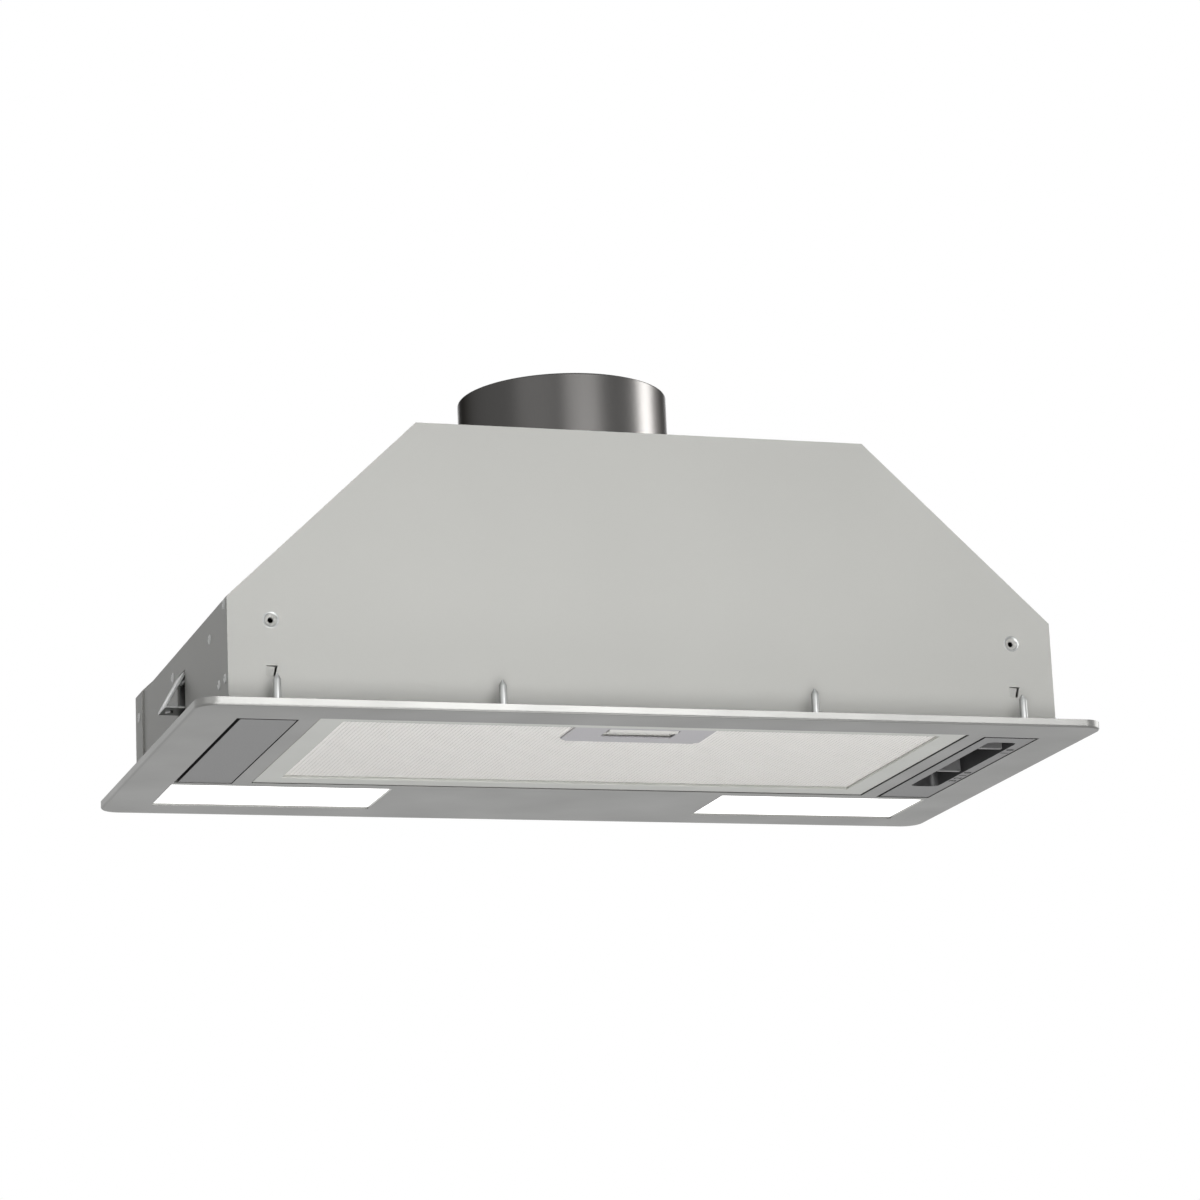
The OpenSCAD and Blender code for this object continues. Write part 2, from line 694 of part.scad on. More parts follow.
// The bent side sheet on the right: upright wall, slope and a flange under the top panel
module side_panel() {
    outer = canopy_edge(0);
    inner = canopy_edge(sheet_t);
    flange_z = ceiling_z - sheet_t;
    flange_x = inner[2][0] - top_flange_w;
    slope_x = inner[2][0] + (inner[2][1] - flange_z) / tan(slope_angle);
    difference() {
        union() {
            along_y(inner_y) polygon([
                outer[0], outer[1], outer[2], inner[2], [flange_x, ceiling_z], [flange_x, flange_z],
                [slope_x, flange_z], inner[1], inner[0]
            ]);
            block([body_x[1] - sheet_t, body_x[1] + foot_w], inner_y, [plate_t, plate_t + sheet_t]);
        }
        block([body_x[1] - sheet_t - cut, body_x[1] + cut], grown(clip_y, 2 * move_gap), clip_win_z);
        block([body_x[1], body_x[1] + foot_w + cut], [body_y[1] - rear_flange_d, body_y[1]], [0, wall_h]);
        // The top flange starts behind the front panel's flange
        along_y([inner_y[0] - cut, body_y[0] + front_flange_d])
            polygon([[flange_x - cut, flange_z], [slope_x, flange_z], inner[2], [flange_x - cut, ceiling_z]]);
    }
}

module side_panel_right() {
    color("darkgray") difference() {
        side_panel();
        panel_rivet_holes();
    }
}

module side_panel_left() {
    color("darkgray") difference() {
        mirror([1, 0, 0]) side_panel();
        panel_rivet_holes();
    }
}

// Blind rivets through the side walls, and through the rear panel's flanges over them
module rivet_places(list, out) {
    for (p = list)
        translate([p[0] * (body_x[1] + out), p[1], p[2]]) rotate([0, p[0] * 90, 0]) children();
}

module panel_rivet_holes() {
    rivet_places(concat(wall_rivets, flange_rivets), 0)
        translate([0, 0, -4 * sheet_t]) cylinder(r = rivet_r + run_gap, h = 6 * sheet_t);
}

module rivet(grip) {
    cylinder(r1 = rivet_head_r, r2 = rivet_r, h = rivet_head_h);
    translate([0, 0, -grip]) cylinder(r = rivet_r, h = grip);
}

module panel_rivets() {
    color("whitesmoke") {
        rivet_places(wall_rivets, 0) rivet(2 * sheet_t);
        rivet_places(flange_rivets, sheet_t) rivet(2 * sheet_t);
    }
}

// Welded studs and nuts that hold the front and rear feet on the plate
module foot_stud_places() {
    for (k = foot_stud_shares, y = [body_y[0] - foot_w / 2, body_y[1] + foot_w / 2])
        translate([k * body_x[1], y, plate_t]) children();
}

module foot_stud_holes() {
    foot_stud_places() cylinder(r = screw_r + run_gap, h = 2 * sheet_t);
}

module foot_nuts() {
    color("gainsboro") foot_stud_places() {
        cylinder(r = screw_r, h = sheet_t + 2 * screw_head_h);
        translate([0, 0, sheet_t]) cylinder(r = screw_head_r, h = screw_head_h, $fn = 6);
    }
}

module locating_pins() {
    color("silver") for (span = [loc_outer_span, loc_inner_span], s = sides)
        translate([s * span / 2, near_y + loc_inset, plate_t]) rotate_extrude() polygon([
            [0, 0], [loc_pin_r, 0], [loc_pin_r, loc_shoulder_z - plate_t],
            [loc_pin_r / 2, loc_tip_z - plate_t - loc_pin_r / 4], [loc_pin_r / 4, loc_tip_z - plate_t], [0, loc_tip_z - plate_t]
        ]);
}

// Circular places around the duct for the collar's screws
module collar_screw_places(r) {
    for (a = [45:90:315])
        translate([0, duct_y, 0]) rotate(a) translate([collar_r + collar_flange_w / 2, 0, ceiling_z - cut])
            cylinder(r = r, h = 2 * sheet_t + 2 * cut);
}

module duct_collar() {
    color("dimgray") difference() {
        translate([0, duct_y, canopy_h]) rotate_extrude($fn = 128) polygon([
            [duct_r, 0], [collar_r + collar_flange_w, 0], [collar_r + collar_flange_w, collar_t],
            [collar_r, collar_t], [collar_r, collar_h], [duct_r, collar_h], [duct_r, ledge_rise],
            [duct_r - ledge_w, ledge_rise], [duct_r - ledge_w, ledge_rise - collar_t], [duct_r, ledge_rise - collar_t]
        ]);
        bar_x([-collar_r - cut, collar_r + cut], duct_y, rod_z, rod_r + run_gap);
        collar_screw_places(screw_r + run_gap);
    }
}

module collar_screws() {
    color("silver") for (a = [45:90:315])
        translate([0, duct_y, 0]) rotate(a) translate([collar_r + collar_flange_w / 2, 0, canopy_h + collar_t]) {
            cylinder(r = screw_head_r, h = screw_head_h);
            translate([0, 0, -2 * sheet_t - screw_head_h]) cylinder(r = screw_r, h = 2 * sheet_t + screw_head_h);
        }
}

module damper_rod() {
    color("silver") bar_x([-collar_r, collar_r], duct_y, rod_z, rod_r);
}

// One half-round flap; s is -1 for the near flap and 1 for the far flap
module damper_flap(s) {
    middles = [for (k = knuckle_shares) -s * k * flap_r];
    reach = s > 0 ? [duct_y + flap_edge, duct_y + duct_r] : [duct_y - duct_r, duct_y - flap_edge];
    web = s > 0 ? [duct_y, duct_y + flap_edge + cut] : [duct_y - flap_edge - cut, duct_y];
    level = [rod_z - flap_t / 2, rod_z + flap_t / 2];
    difference() {
        union() {
            intersection() {
                translate([0, duct_y, level[0]]) cylinder(r = flap_r, h = flap_t, $fn = 128);
                block([-duct_r, duct_r], reach, grown(level, cut));
            }
            for (x = middles) {
                block([x - knuckle_l / 2, x + knuckle_l / 2], web, level);
                bar_x([x - knuckle_l / 2, x + knuckle_l / 2], duct_y, rod_z, knuckle_r);
            }
        }
        bar_x([-duct_r, duct_r], duct_y, rod_z, rod_r + run_gap);
    }
}

module damper_flap_front() {
    color("gray") damper_flap(-1);
}

module damper_flap_rear() {
    color("gray") damper_flap(1);
}

// Points of the scroll's wall in Y and Z, from the tongue round to the outlet
function scroll_points(out) = [
    for (k = [0:scroll_steps])
        let (a = tongue_angle + (outlet_angle - tongue_angle) * k / scroll_steps, r = scroll_radius(a) + out)
        [blower_y + r * cos(a), blower_z + r * sin(a)]
];

// The scroll's outline with its straight outlet
module scroll_outline(out) {
    curve = scroll_points(out);
    polygon(concat(curve, [[throat_y[1] + out, ceiling_z], [throat_y[0] - out, ceiling_z]]));
}

module scroll_wrap() {
    inner_x = grown(scroll_x, -scroll_t);
    color("lightsteelblue") difference() {
        union() {
            along_x(inner_x) scroll_outline(scroll_t);
            block(grown(scroll_x, outlet_flange_w), grown(throat_y, scroll_t + outlet_flange_w), [ceiling_z - sheet_t, ceiling_z]);
        }
        along_x(grown(inner_x, cut)) scroll_outline(0);
        block(inner_x, throat_y, [ceiling_z - 2 * sheet_t, ceiling_z + cut]);
        blower_screw_places(screw_r + run_gap);
    }
}

module scroll_plate(s) {
    span = s > 0 ? [scroll_x[1] - scroll_t, scroll_x[1]] : [scroll_x[0], scroll_x[0] + scroll_t];
    color("lightsteelblue") difference() {
        along_x(span) scroll_outline(scroll_t);
        block(grown(scroll_x, cut), [blower_y - scroll_end_r, far_y], [ceiling_z - sheet_t, ceiling_z + cut]);
        bar_x(grown(scroll_x, cut), blower_y, blower_z, inlet_r + inlet_ring_w / 2);
        if (s > 0) motor_screw_places() cylinder(r = screw_r + run_gap, h = 2 * mount_h, center = true);
    }
}

module scroll_plate_left() {
    scroll_plate(-1);
}

module scroll_plate_right() {
    scroll_plate(1);
}

// Rolled rings that lead the air into the impeller
module inlet_rings() {
    color("steelblue") for (s = sides)
        translate([s * (scroll_x[1] - scroll_t), blower_y, blower_z]) rotate([0, s * 90, 0])
            rotate_extrude() polygon([
                [inlet_r, -3 * scroll_t], [inlet_r + scroll_t, -3 * scroll_t], [inlet_r + inlet_ring_w / 2, 0],
                [inlet_r + inlet_ring_w / 2, scroll_t], [inlet_r + inlet_ring_w, scroll_t],
                [inlet_r + inlet_ring_w, 2 * scroll_t], [inlet_r + scroll_t, 2 * scroll_t]
            ]);
}

module blower_screw_places(r) {
    for (s = sides, y = [throat_y[0] + outlet_flange_w, throat_y[1] - outlet_flange_w])
        translate([s * (scroll_x[1] + outlet_flange_w / 2), y, ceiling_z - sheet_t - cut])
            cylinder(r = r, h = 2 * sheet_t + 2 * cut);
}

module blower_screws() {
    color("silver") for (s = sides, y = [throat_y[0] + outlet_flange_w, throat_y[1] - outlet_flange_w])
        translate([s * (scroll_x[1] + outlet_flange_w / 2), y, ceiling_z - sheet_t - screw_head_h]) {
            cylinder(r = screw_head_r, h = screw_head_h);
            translate([0, 0, screw_head_h]) cylinder(r = screw_r, h = 2 * sheet_t + screw_head_h);
        }
}

// One forward-curved blade in the YZ plane, its curve growing with the square of the way out
function blade_edge(turn) = [
    for (k = [0:blade_steps])
        let (t = k / blade_steps, r = blade_in_r + (impeller_r - blade_t - blade_in_r) * t, a = turn + blade_sweep * t * t)
        [r * cos(a), r * sin(a)]
];

module impeller() {
    thick_turn = blade_t / impeller_r * 180 / PI;
    half = impeller_w / 2;
    color("slategray") translate([0, blower_y, blower_z]) difference() {
        union() {
            along_x([-half + disc_t / 2, half - disc_t / 2]) for (i = [0:blade_count - 1])
                polygon(concat(
                    blade_edge(360 * i / blade_count),
                    [for (k = [blade_steps:-1:0]) blade_edge(360 * i / blade_count + thick_turn)[k]]
                ));
            for (x = [-half, half - disc_t]) difference() {
                bar_x([x, x + disc_t], 0, 0, impeller_r);
                bar_x([x - cut, x + disc_t + cut], 0, 0, impeller_r - rim_ring_w);
            }
            bar_x([-disc_t / 2, disc_t / 2], 0, 0, impeller_r);
            bar_x([disc_t / 2 - hub_l, disc_t / 2], 0, 0, hub_r);
        }
        bar_x([-half, half], 0, 0, shaft_r);
    }
}

module motor_shaft() {
    color("silver") bar_x([-hub_l, motor_x[1] + shaft_r], blower_y, blower_z, shaft_r);
}

module motor_can() {
    bell = motor_r / 3;
    color("dimgray") difference() {
        translate([motor_x[1], blower_y, blower_z]) rotate([0, -90, 0]) rotate_extrude() polygon([
            [0, 0], [motor_r, 0], [motor_r, motor_l - bell / 2], [motor_r - bell / 2, motor_l - bell / 4],
            [hub_r, motor_l - bell / 4], [hub_r, motor_l], [0, motor_l]
        ]);
        bar_x(grown(motor_x, cut), blower_y, blower_z, shaft_r + run_gap);
    }
}

// The three arms' ends, around the blower's axis
module arm_places() {
    for (a = [90, 210, 330])
        translate([0, blower_y, blower_z]) rotate([a, 0, 0]) children();
}

module motor_screw_places() {
    arm_places() translate([scroll_x[1], arm_reach, 0]) rotate([0, -90, 0]) children();
}

module motor_bracket() {
    bracket_x = [motor_x[1], motor_x[1] + bracket_t];
    color("gray") difference() {
        union() {
            bar_x(bracket_x, blower_y, blower_z, motor_r);
            arm_places() {
                block(bracket_x, [0, arm_reach], [-arm_w / 2, arm_w / 2]);
                translate([bracket_x[0], arm_reach, 0]) rotate([0, 90, 0]) cylinder(r = arm_w / 2, h = bracket_t);
            }
        }
        bar_x(grown(bracket_x, cut), blower_y, blower_z, shaft_r * 2);
        motor_screw_places() cylinder(r = screw_r + run_gap, h = 4 * mount_h, center = true);
    }
}

module motor_mounts() {
    color("darkslategray") motor_screw_places() difference() {
        translate([0, 0, -mount_h]) cylinder(r = mount_r, h = mount_h);
        translate([0, 0, -mount_h - cut]) cylinder(r = screw_r + run_gap, h = mount_h + 2 * cut);
    }
}

module motor_screws() {
    grip = mount_h + bracket_t;
    color("silver") motor_screw_places() {
        translate([0, 0, -grip]) cylinder(r = screw_r, h = grip + scroll_t + screw_r);
        translate([0, 0, -grip - screw_head_h]) cylinder(r = screw_head_r, h = screw_head_h);
    }
}

module capacitor() {
    color("lightgray") {
        bar_y(capacitor_axis[0], capacitor_y, capacitor_axis[1], capacitor_r);
        for (s = sides)
            block(
                [capacitor_axis[0] + s * capacitor_r / 3 - clamp_t, capacitor_axis[0] + s * capacitor_r / 3 + clamp_t],
                [capacitor_y[1], capacitor_y[1] + clamp_w / 2], [capacitor_axis[1] - clamp_t, capacitor_axis[1] + clamp_t]
            );
    }
}

module capacitor_clamp() {
    mid = (capacitor_y[0] + capacitor_y[1]) / 2;
    band = [mid - clamp_w / 2, mid + clamp_w / 2];
    color("silver") difference() {
        union() {
            bar_y(capacitor_axis[0], band, capacitor_axis[1], capacitor_r + clamp_t);
            block([scroll_x[1], scroll_x[1] + clamp_t], band, [capacitor_axis[1] - capacitor_r, capacitor_axis[1] + capacitor_r]);
            block([scroll_x[1], capacitor_axis[0]], band, [capacitor_axis[1] - clamp_w / 4, capacitor_axis[1] + clamp_w / 4]);
        }
        bar_y(capacitor_axis[0], grown(band, cut), capacitor_axis[1], capacitor_r);
    }
}

module terminal_box() {
    color("white") difference() {
        block(terminal_range_x, terminal_y, terminal_z);
        block(grown(terminal_range_x, -terminal_t), grown(terminal_y, -terminal_t), [terminal_z[0] - cut, terminal_z[1] - terminal_t]);
        translate([terminal_x, terminal_mid_y, terminal_z[1] - terminal_t - cut])
            cylinder(r = gland_r + terminal_t, h = terminal_t + 2 * cut);
        block(
            [terminal_x - gland_r, terminal_x + gland_r], [terminal_y[0] - cut, terminal_y[0] + terminal_t + cut],
            grown(terminal_z, -terminal_h / 3)
        );
    }
}

module terminal_lid() {
    color("white") {
        block(terminal_range_x, terminal_y, [terminal_z[0] - terminal_t, terminal_z[0]]);
        frame_box(
            grown(terminal_range_x, -terminal_t - run_gap), grown(terminal_y, -terminal_t - run_gap),
            [terminal_z[0], terminal_z[0] + 2 * terminal_t], terminal_t
        );
    }
}

module terminal_block() {
    room_x = grown(terminal_range_x, -2 * terminal_t - move_gap);
    step = (room_x[1] - room_x[0]) / terminal_poles;
    color("ivory") block(
        room_x, [terminal_mid_y, terminal_y[1] - 2 * terminal_t - move_gap], [terminal_z[0], terminal_z[0] + step]
    );
    color("silver") for (i = [0:terminal_poles - 1])
        translate([room_x[0] + (i + 0.5) * step, terminal_mid_y + step, terminal_z[0] + step]) cylinder(r = screw_r, h = screw_r);
}

// The cord's way in: a gland with a bore, its nut and a flange on the top panel
module cable_gland() {
    color("dimgray") translate([terminal_x, terminal_mid_y, 0]) difference() {
        union() {
            translate([0, 0, terminal_z[1] - 2 * terminal_t]) cylinder(
                r = gland_r + terminal_t - run_gap, h = canopy_h + gland_h - terminal_z[1] + 2 * terminal_t
            );
            translate([0, 0, canopy_h]) cylinder(r = gland_nut_r, h = gland_flat_h, $fn = 6);
            translate([0, 0, canopy_h + gland_h - gland_flat_h]) cylinder(r = gland_nut_r - terminal_t, h = gland_flat_h);
        }
        translate([0, 0, terminal_z[0]]) cylinder(r = gland_r, h = canopy_h + gland_h + cut);
    }
}

module light_driver() {
    wall = -body_x[1] + sheet_t;
    color("white") difference() {
        block([wall, wall + driver_x], driver_range_y, driver_z);
        panel_rivet_holes();
    }
}

module lamp_housing(s) {
    color("white") difference() {
        block(sided(lamp_x, s), lamp_y, lamp_z);
        block(sided(grown(lamp_x, -lamp_wall), s), grown(lamp_y, -lamp_wall), [lamp_z[0] - cut, lamp_z[1] - lamp_wall]);
    }
}

module lamp_housing_left() {
    lamp_housing(-1);
}

module lamp_housing_right() {
    lamp_housing(1);
}

// A board of light chips under the housing's ceiling
module light_board(s) {
    board_x = grown(lamp_x, -board_rim);
    board_y = grown(lamp_y, -board_rim);
    step_x = (board_x[1] - board_x[0]) / chip_columns;
    step_y = (board_y[1] - board_y[0]) / chip_rows;
    color("honeydew") {
        block(sided(board_x, s), board_y, [board_z, board_z + board_t]);
        for (i = [0:chip_columns - 1], j = [0:chip_rows - 1])
            translate([s * (board_x[0] + (i + 0.5) * step_x), board_y[0] + (j + 0.5) * step_y, board_z - chip_h])
                translate([-chip_w / 2, -chip_w / 2]) cube([chip_w, chip_w, chip_h]);
    }
}

module light_board_left() {
    light_board(-1);
}

module light_board_right() {
    light_board(1);
}

module lens(s) {
    color("white") block(sided(grown(led_x, lens_overlap), s), grown(led_y, lens_overlap), [plate_t, plate_t + lens_t]);
}

module lens_left() {
    lens(-1);
}

module lens_right() {
    lens(1);
}

// The tray shape of both side inserts: a face, four walls and a flange over the window's lip
module insert_tray(x, win_x) {
    difference() {
        union() {
            block(x, insert_y, [insert_recess, lip_h + insert_t]);
            block(grown(win_x, flange_w), grown(side_win_y, flange_w), [lip_h, lip_h + insert_t]);
        }
        block(grown(x, -insert_t), grown(insert_y, -insert_t), [insert_recess + insert_t, lip_h + insert_t + cut]);
    }
}

module trough_shape(by) {
    round_rect(grown(trough_x, by), grown(trough_y, by), trough_r + by);
}

module control_insert() {
    color("dimgray") difference() {
        union() {
            insert_tray(bezel_x, control_x);
            translate([0, 0, insert_recess]) linear_extrude(trough_top - insert_recess) trough_shape(insert_t);
        }
        translate([0, 0, insert_recess - cut]) linear_extrude(trough_h - insert_recess + cut) trough_shape(0);
        stem_slot(light_y, light_travel);
        stem_slot(speed_y, speed_travel);
    }
}

// The slot in the trough's ceiling that a slider's stem runs in
module stem_slot(y, travel) {
    block(
        grown([trough_mid - stem_w / 2, trough_mid + stem_w / 2], move_gap),
        [y - fin_t / 2 - move_gap, y + fin_t / 2 + travel + move_gap], [trough_h - cut, trough_top + cut]
    );
}

module slider_fin(y) {
    fin_x = [trough_x[0] + fin_gap, trough_x[1] - fin_gap];
    block(fin_x, [y - fin_t / 2, y + fin_t / 2], [fin_recess, trough_h - move_gap]);
    block([trough_mid - stem_w / 2, trough_mid + stem_w / 2], [y - fin_t / 2, y + fin_t / 2], [trough_h - cut, trough_top + move_gap + cut]);
    block(
        [trough_mid - stem_w, trough_mid + stem_w], [y - carriage_d / 2, y + carriage_d / 2],
        [trough_top + move_gap, trough_top + move_gap + carriage_h]
    );
}

module light_slider() {
    color("slategray") slider_fin(light_y);
}

module speed_slider() {
    color("slategray") slider_fin(speed_y);
}

// A slide switch over the trough, hollow underneath for the slider's carriage
module slide_switch(y, travel) {
    room_y = [y - carriage_d / 2 - move_gap, y + carriage_d / 2 + travel + move_gap];
    room_x = grown([trough_mid - stem_w, trough_mid + stem_w], move_gap);
    difference() {
        block(grown(room_x, insert_t), grown(room_y, insert_t), [trough_top, trough_top + switch_h]);
        block(room_x, room_y, [trough_top - cut, trough_top + carriage_h + 2 * move_gap]);
    }
}

module light_switch() {
    color("black") slide_switch(light_y, light_travel);
}

module speed_switch() {
    color("black") slide_switch(speed_y, speed_travel);
}

module blank_insert() {
    color("gray") insert_tray(blank_x, flipped(control_x));
}

// Filter cassette: a folded frame with tongues over the opening's far edge
module filter_frame() {
    hollow_z = [net_z, cassette_z[1] - frame_wall];
    color("lightgray") difference() {
        union() {
            block(cassette_x, cassette_y, cassette_z);
            for (s = sides)
                block(
                    [s * tongue_span / 2 - tongue_w / 2, s * tongue_span / 2 + tongue_w / 2],
                    [cassette_y[1] - frame_wall, cassette_y[1] + tongue_reach], tongue_z
                );
        }
        block(
            grown(cassette_x, -frame_face_w), [cassette_y[0] + frame_near_w, cassette_y[1] - frame_face_w], grown(cassette_z, cut)
        );
        block(grown(cassette_x, -frame_wall), grown(cassette_y, -frame_wall), hollow_z);
        for (s = sides)
            block(
                grown(sided([nose_x, nose_x + nose_w], s), move_gap), [cassette_y[0] - cut, cassette_y[0] + frame_wall + cut],
                grown(slider_z, move_gap / 2)
            );
    }
}

// Expanded metal: rows of diamond gaps, left whole around a pocket
module net(columns, rows, z, pocket_x, pocket_y) {
    field_x = grown(pad_x, -frame_face_w / 2);
    field_y = grown(pad_y, -frame_face_w / 2);
    step_x = (field_x[1] - field_x[0]) / columns;
    step_y = (field_y[1] - field_y[0]) / rows;
    difference() {
        block(pad_x, pad_y, [z, z + net_t]);
        translate([0, 0, z - cut]) linear_extrude(net_t + 2 * cut)
            for (i = [0:columns - 1], j = [0:rows - 1])
                let (x = field_x[0] + (i + 0.5) * step_x, y = field_y[0] + (j + 0.5) * step_y,
                    w = (step_x - net_web) / 2, d = (step_y - net_web) / 2,
                    near_pocket = abs(x) < pocket_x + step_x && y < pocket_y + step_y)
                if (!near_pocket) translate([x, y]) polygon([[-w, 0], [0, -d], [w, 0], [0, d]]);
    }
}

module filter_net() {
    color("whitesmoke") difference() {
        net(net_columns, net_rows, net_z, latch_w / 2, latch_y[1]);
        block(
            grown([-slot_w / 2, slot_w / 2], move_gap), [slot_y[0] - move_gap, slot_y[1] + move_gap], [net_z - cut, pad_z[0] + cut]
        );
    }
}

module filter_backing() {
    color("whitesmoke") net(ceil(net_columns / 2), ceil(net_rows / 2), pad_z[1], 0, near_y);
}

module filter_pad() {
    color("linen") difference() {
        block(pad_x, pad_y, pad_z);
        block(grown(tray_x, move_gap), [pad_y[0] - cut, tray_y[1] + move_gap], grown(pad_z, cut));
    }
}

// A lead that leaves one piece squarely and meets another squarely, in a cubic curve between the two stubs
module lead(from, from_way, to, to_way) {
    p = [
        from + lead_stub * from_way, from + (lead_stub + lead_pull) * from_way,
        to + (lead_stub + lead_pull) * to_way, to + lead_stub * to_way
    ];
    curve = [for (k = [0:lead_steps]) let (t = k / lead_steps, u = 1 - t)
        u * u * u * p[0] + 3 * u * u * t * p[1] + 3 * u * t * t * p[2] + t * t * t * p[3]];
    tube(concat([from], curve, [to]), lead_r, lead_sides);
}

// Leads from the terminal box to the motor and to the two switches
module power_leads() {
    top = trough_top + switch_h;
    color("black") {
        lead(
            [terminal_x, terminal_y[0], lead_z], [0, -1, 0],
            [motor_x[1] + bracket_t, blower_y, blower_z + motor_r * lead_share], [1, 0, 0]
        );
        lead(
            [trough_mid, light_y + light_travel / 2, top], [0, 0, 1],
            [terminal_range_x[1], terminal_mid_y - 2 * lead_r, lead_z], [1, 0, 0]
        );
        lead(
            [trough_mid, speed_y + speed_travel / 2, top], [0, 0, 1],
            [terminal_range_x[1], terminal_mid_y + 2 * lead_r, lead_z], [1, 0, 0]
        );
    }
}

// Leads from the light driver to the near lamp and on to the far one
module light_leads() {
    color("white") {
        lead(
            [-body_x[1] + sheet_t + driver_x / 2, driver_range_y[1], lamp_z[1] + 2 * lead_r], [0, 1, 0],
            [-led_x[1] + led_inset, lamp_y[0], lamp_z[1] - lamp_wall - lead_r], [0, -1, 0]
        );
        bar_x([-lamp_x[0], lamp_x[0]], (lamp_y[0] + lamp_y[1]) / 2, plate_t + lead_r, lead_r);
    }
}

module latch_outline() {
    x = latch_w / 2;
    polygon([
        [-x, latch_y[0]], [x, latch_y[0]], [x, latch_y[1] - latch_chamfer], [x - latch_chamfer, latch_y[1]],
        [-x + latch_chamfer, latch_y[1]], [-x, latch_y[1] - latch_chamfer]
    ]);
}

module latch_plate() {
    color("darkgray") difference() {
        translate([0, 0, net_z - latch_t]) linear_extrude(latch_t) latch_outline();
        block([-slot_w / 2, slot_w / 2], slot_y, grown([net_z - latch_t, net_z], cut));
    }
}

// A shallow box behind the latch plate that guides the slider
module latch_tray() {
    color("lightgray") difference() {
        block(tray_x, tray_y, pad_z);
        block(grown(tray_x, -frame_wall), grown(tray_y, -frame_wall), [pad_z[0] - cut, pad_z[1] - frame_wall]);
        for (s = sides)
            block(
                grown(sided([nose_x, nose_x + nose_w], s), move_gap), [tray_y[0] - cut, tray_y[0] + frame_wall + cut],
                [pad_z[0] - cut, slider_z[1] + move_gap]
            );
    }
}

module latch_slider() {
    bar_y0 = slot_y[0] + move_gap;
    color("gainsboro") {
        difference() {
            union() {
                block([-slider_w / 2, slider_w / 2], slider_y, slider_z);
                for (s = sides) {
                    block(
                        sided([nose_x, nose_x + nose_w], s),
                        [cassette_y[0] - nose_reach, slider_y[0]], slider_z
                    );
                    block(
                        [s * spring_x - spring_r * 2, s * spring_x + spring_r * 2],
                        [slider_y[1] - frame_wall, slider_y[1]], [slider_z[0], spring_z + spring_r]
                    );
                }
            }
            block([-slot_w / 2 + move_gap, slot_w / 2 - move_gap], [bar_y0 + bar_d, slot_y[1]], grown(slider_z, cut));
        }
        intersection() {
            block(
                [-slot_w / 2 + 2 * move_gap, slot_w / 2 - 2 * move_gap], [bar_y0, bar_y0 + bar_d], [filter_recess, slider_z[0]]
            );
            bar_x([-slot_w / 2, slot_w / 2], bar_y0 + bar_d / 2, filter_recess + bar_face_r, bar_face_r);
        }
    }
}

// The middle line of one latch spring, a helix along Y
function spring_path(x) =
    let (steps = spring_turns * spring_rings, from = slider_y[1] + spring_wire_r, to = tray_y[1] - frame_wall - spring_wire_r)
    [for (k = [0:steps]) [
        x + spring_r * cos(360 * k / spring_rings), from + (to - from) * k / steps,
        spring_z + spring_r * sin(360 * k / spring_rings)
    ]];
// The least gap of a path's wire to itself, between points half a turn or more apart
function least_gap(path, apart, r) =
    min([for (i = [0:len(path) - 1 - apart], j = [i + apart:len(path) - 1]) norm(path[i] - path[j])]) - 2 * r;

// Two compression springs that hold the noses out
module latch_springs() {
    echo(spring_gap = least_gap(spring_path(0), spring_rings / 2, spring_wire_r));
    color("silver") for (s = sides) tube(spring_path(s * spring_x), spring_wire_r, spring_sides);
}

// The right clip: a knuckle on the pin, a ramp out through the wall and a shelf back in
module side_clip() {
    slant = atan2(clip_pivot_z - clip_shelf_z, clip_tip_x - body_x[1]);
    across = clip_t / sin(slant);
    difference() {
        union() {
            along_y(clip_y) polygon([
                [clip_pivot_x, clip_pivot_z + clip_knuckle_r], [body_x[1] + clip_t / 2, clip_pivot_z + clip_knuckle_r],
                [clip_tip_x, clip_shelf_z + clip_t], [clip_tip_x, clip_shelf_z],
                [body_x[1] - 2 * clip_t, clip_shelf_z], [body_x[1] - 2 * clip_t, clip_shelf_z + clip_t],
                [clip_tip_x - across, clip_shelf_z + clip_t],
                [body_x[1] + clip_t / 2 - across, clip_pivot_z + clip_knuckle_r - clip_t], [clip_pivot_x, clip_pivot_z]
            ]);
            bar_y(clip_pivot_x, clip_y, clip_pivot_z, clip_knuckle_r);
        }
        bar_y(clip_pivot_x, grown(clip_y, cut), clip_pivot_z, clip_pin_r + run_gap);
        translate([clip_screw_x, -clip_offset, clip_shelf_z - cut]) cylinder(r = clip_screw_r + run_gap, h = clip_t + 2 * cut);
    }
}

module side_clip_right() {
    color("gainsboro") side_clip();
}

module side_clip_left() {
    color("gainsboro") mirror([1, 0, 0]) side_clip();
}

// The screw through a clip's shelf, with its head underneath
module clip_screw() {
    translate([clip_screw_x, -clip_offset, clip_shelf_z - clip_t]) cylinder(r = clip_screw_head_r, h = clip_t);
    translate([clip_screw_x, -clip_offset, clip_shelf_z]) cylinder(r = clip_screw_r, h = 2 * clip_t);
}

module clip_screw_right() {
    color("silver") clip_screw();
}

module clip_screw_left() {
    color("silver") mirror([1, 0, 0]) clip_screw();
}

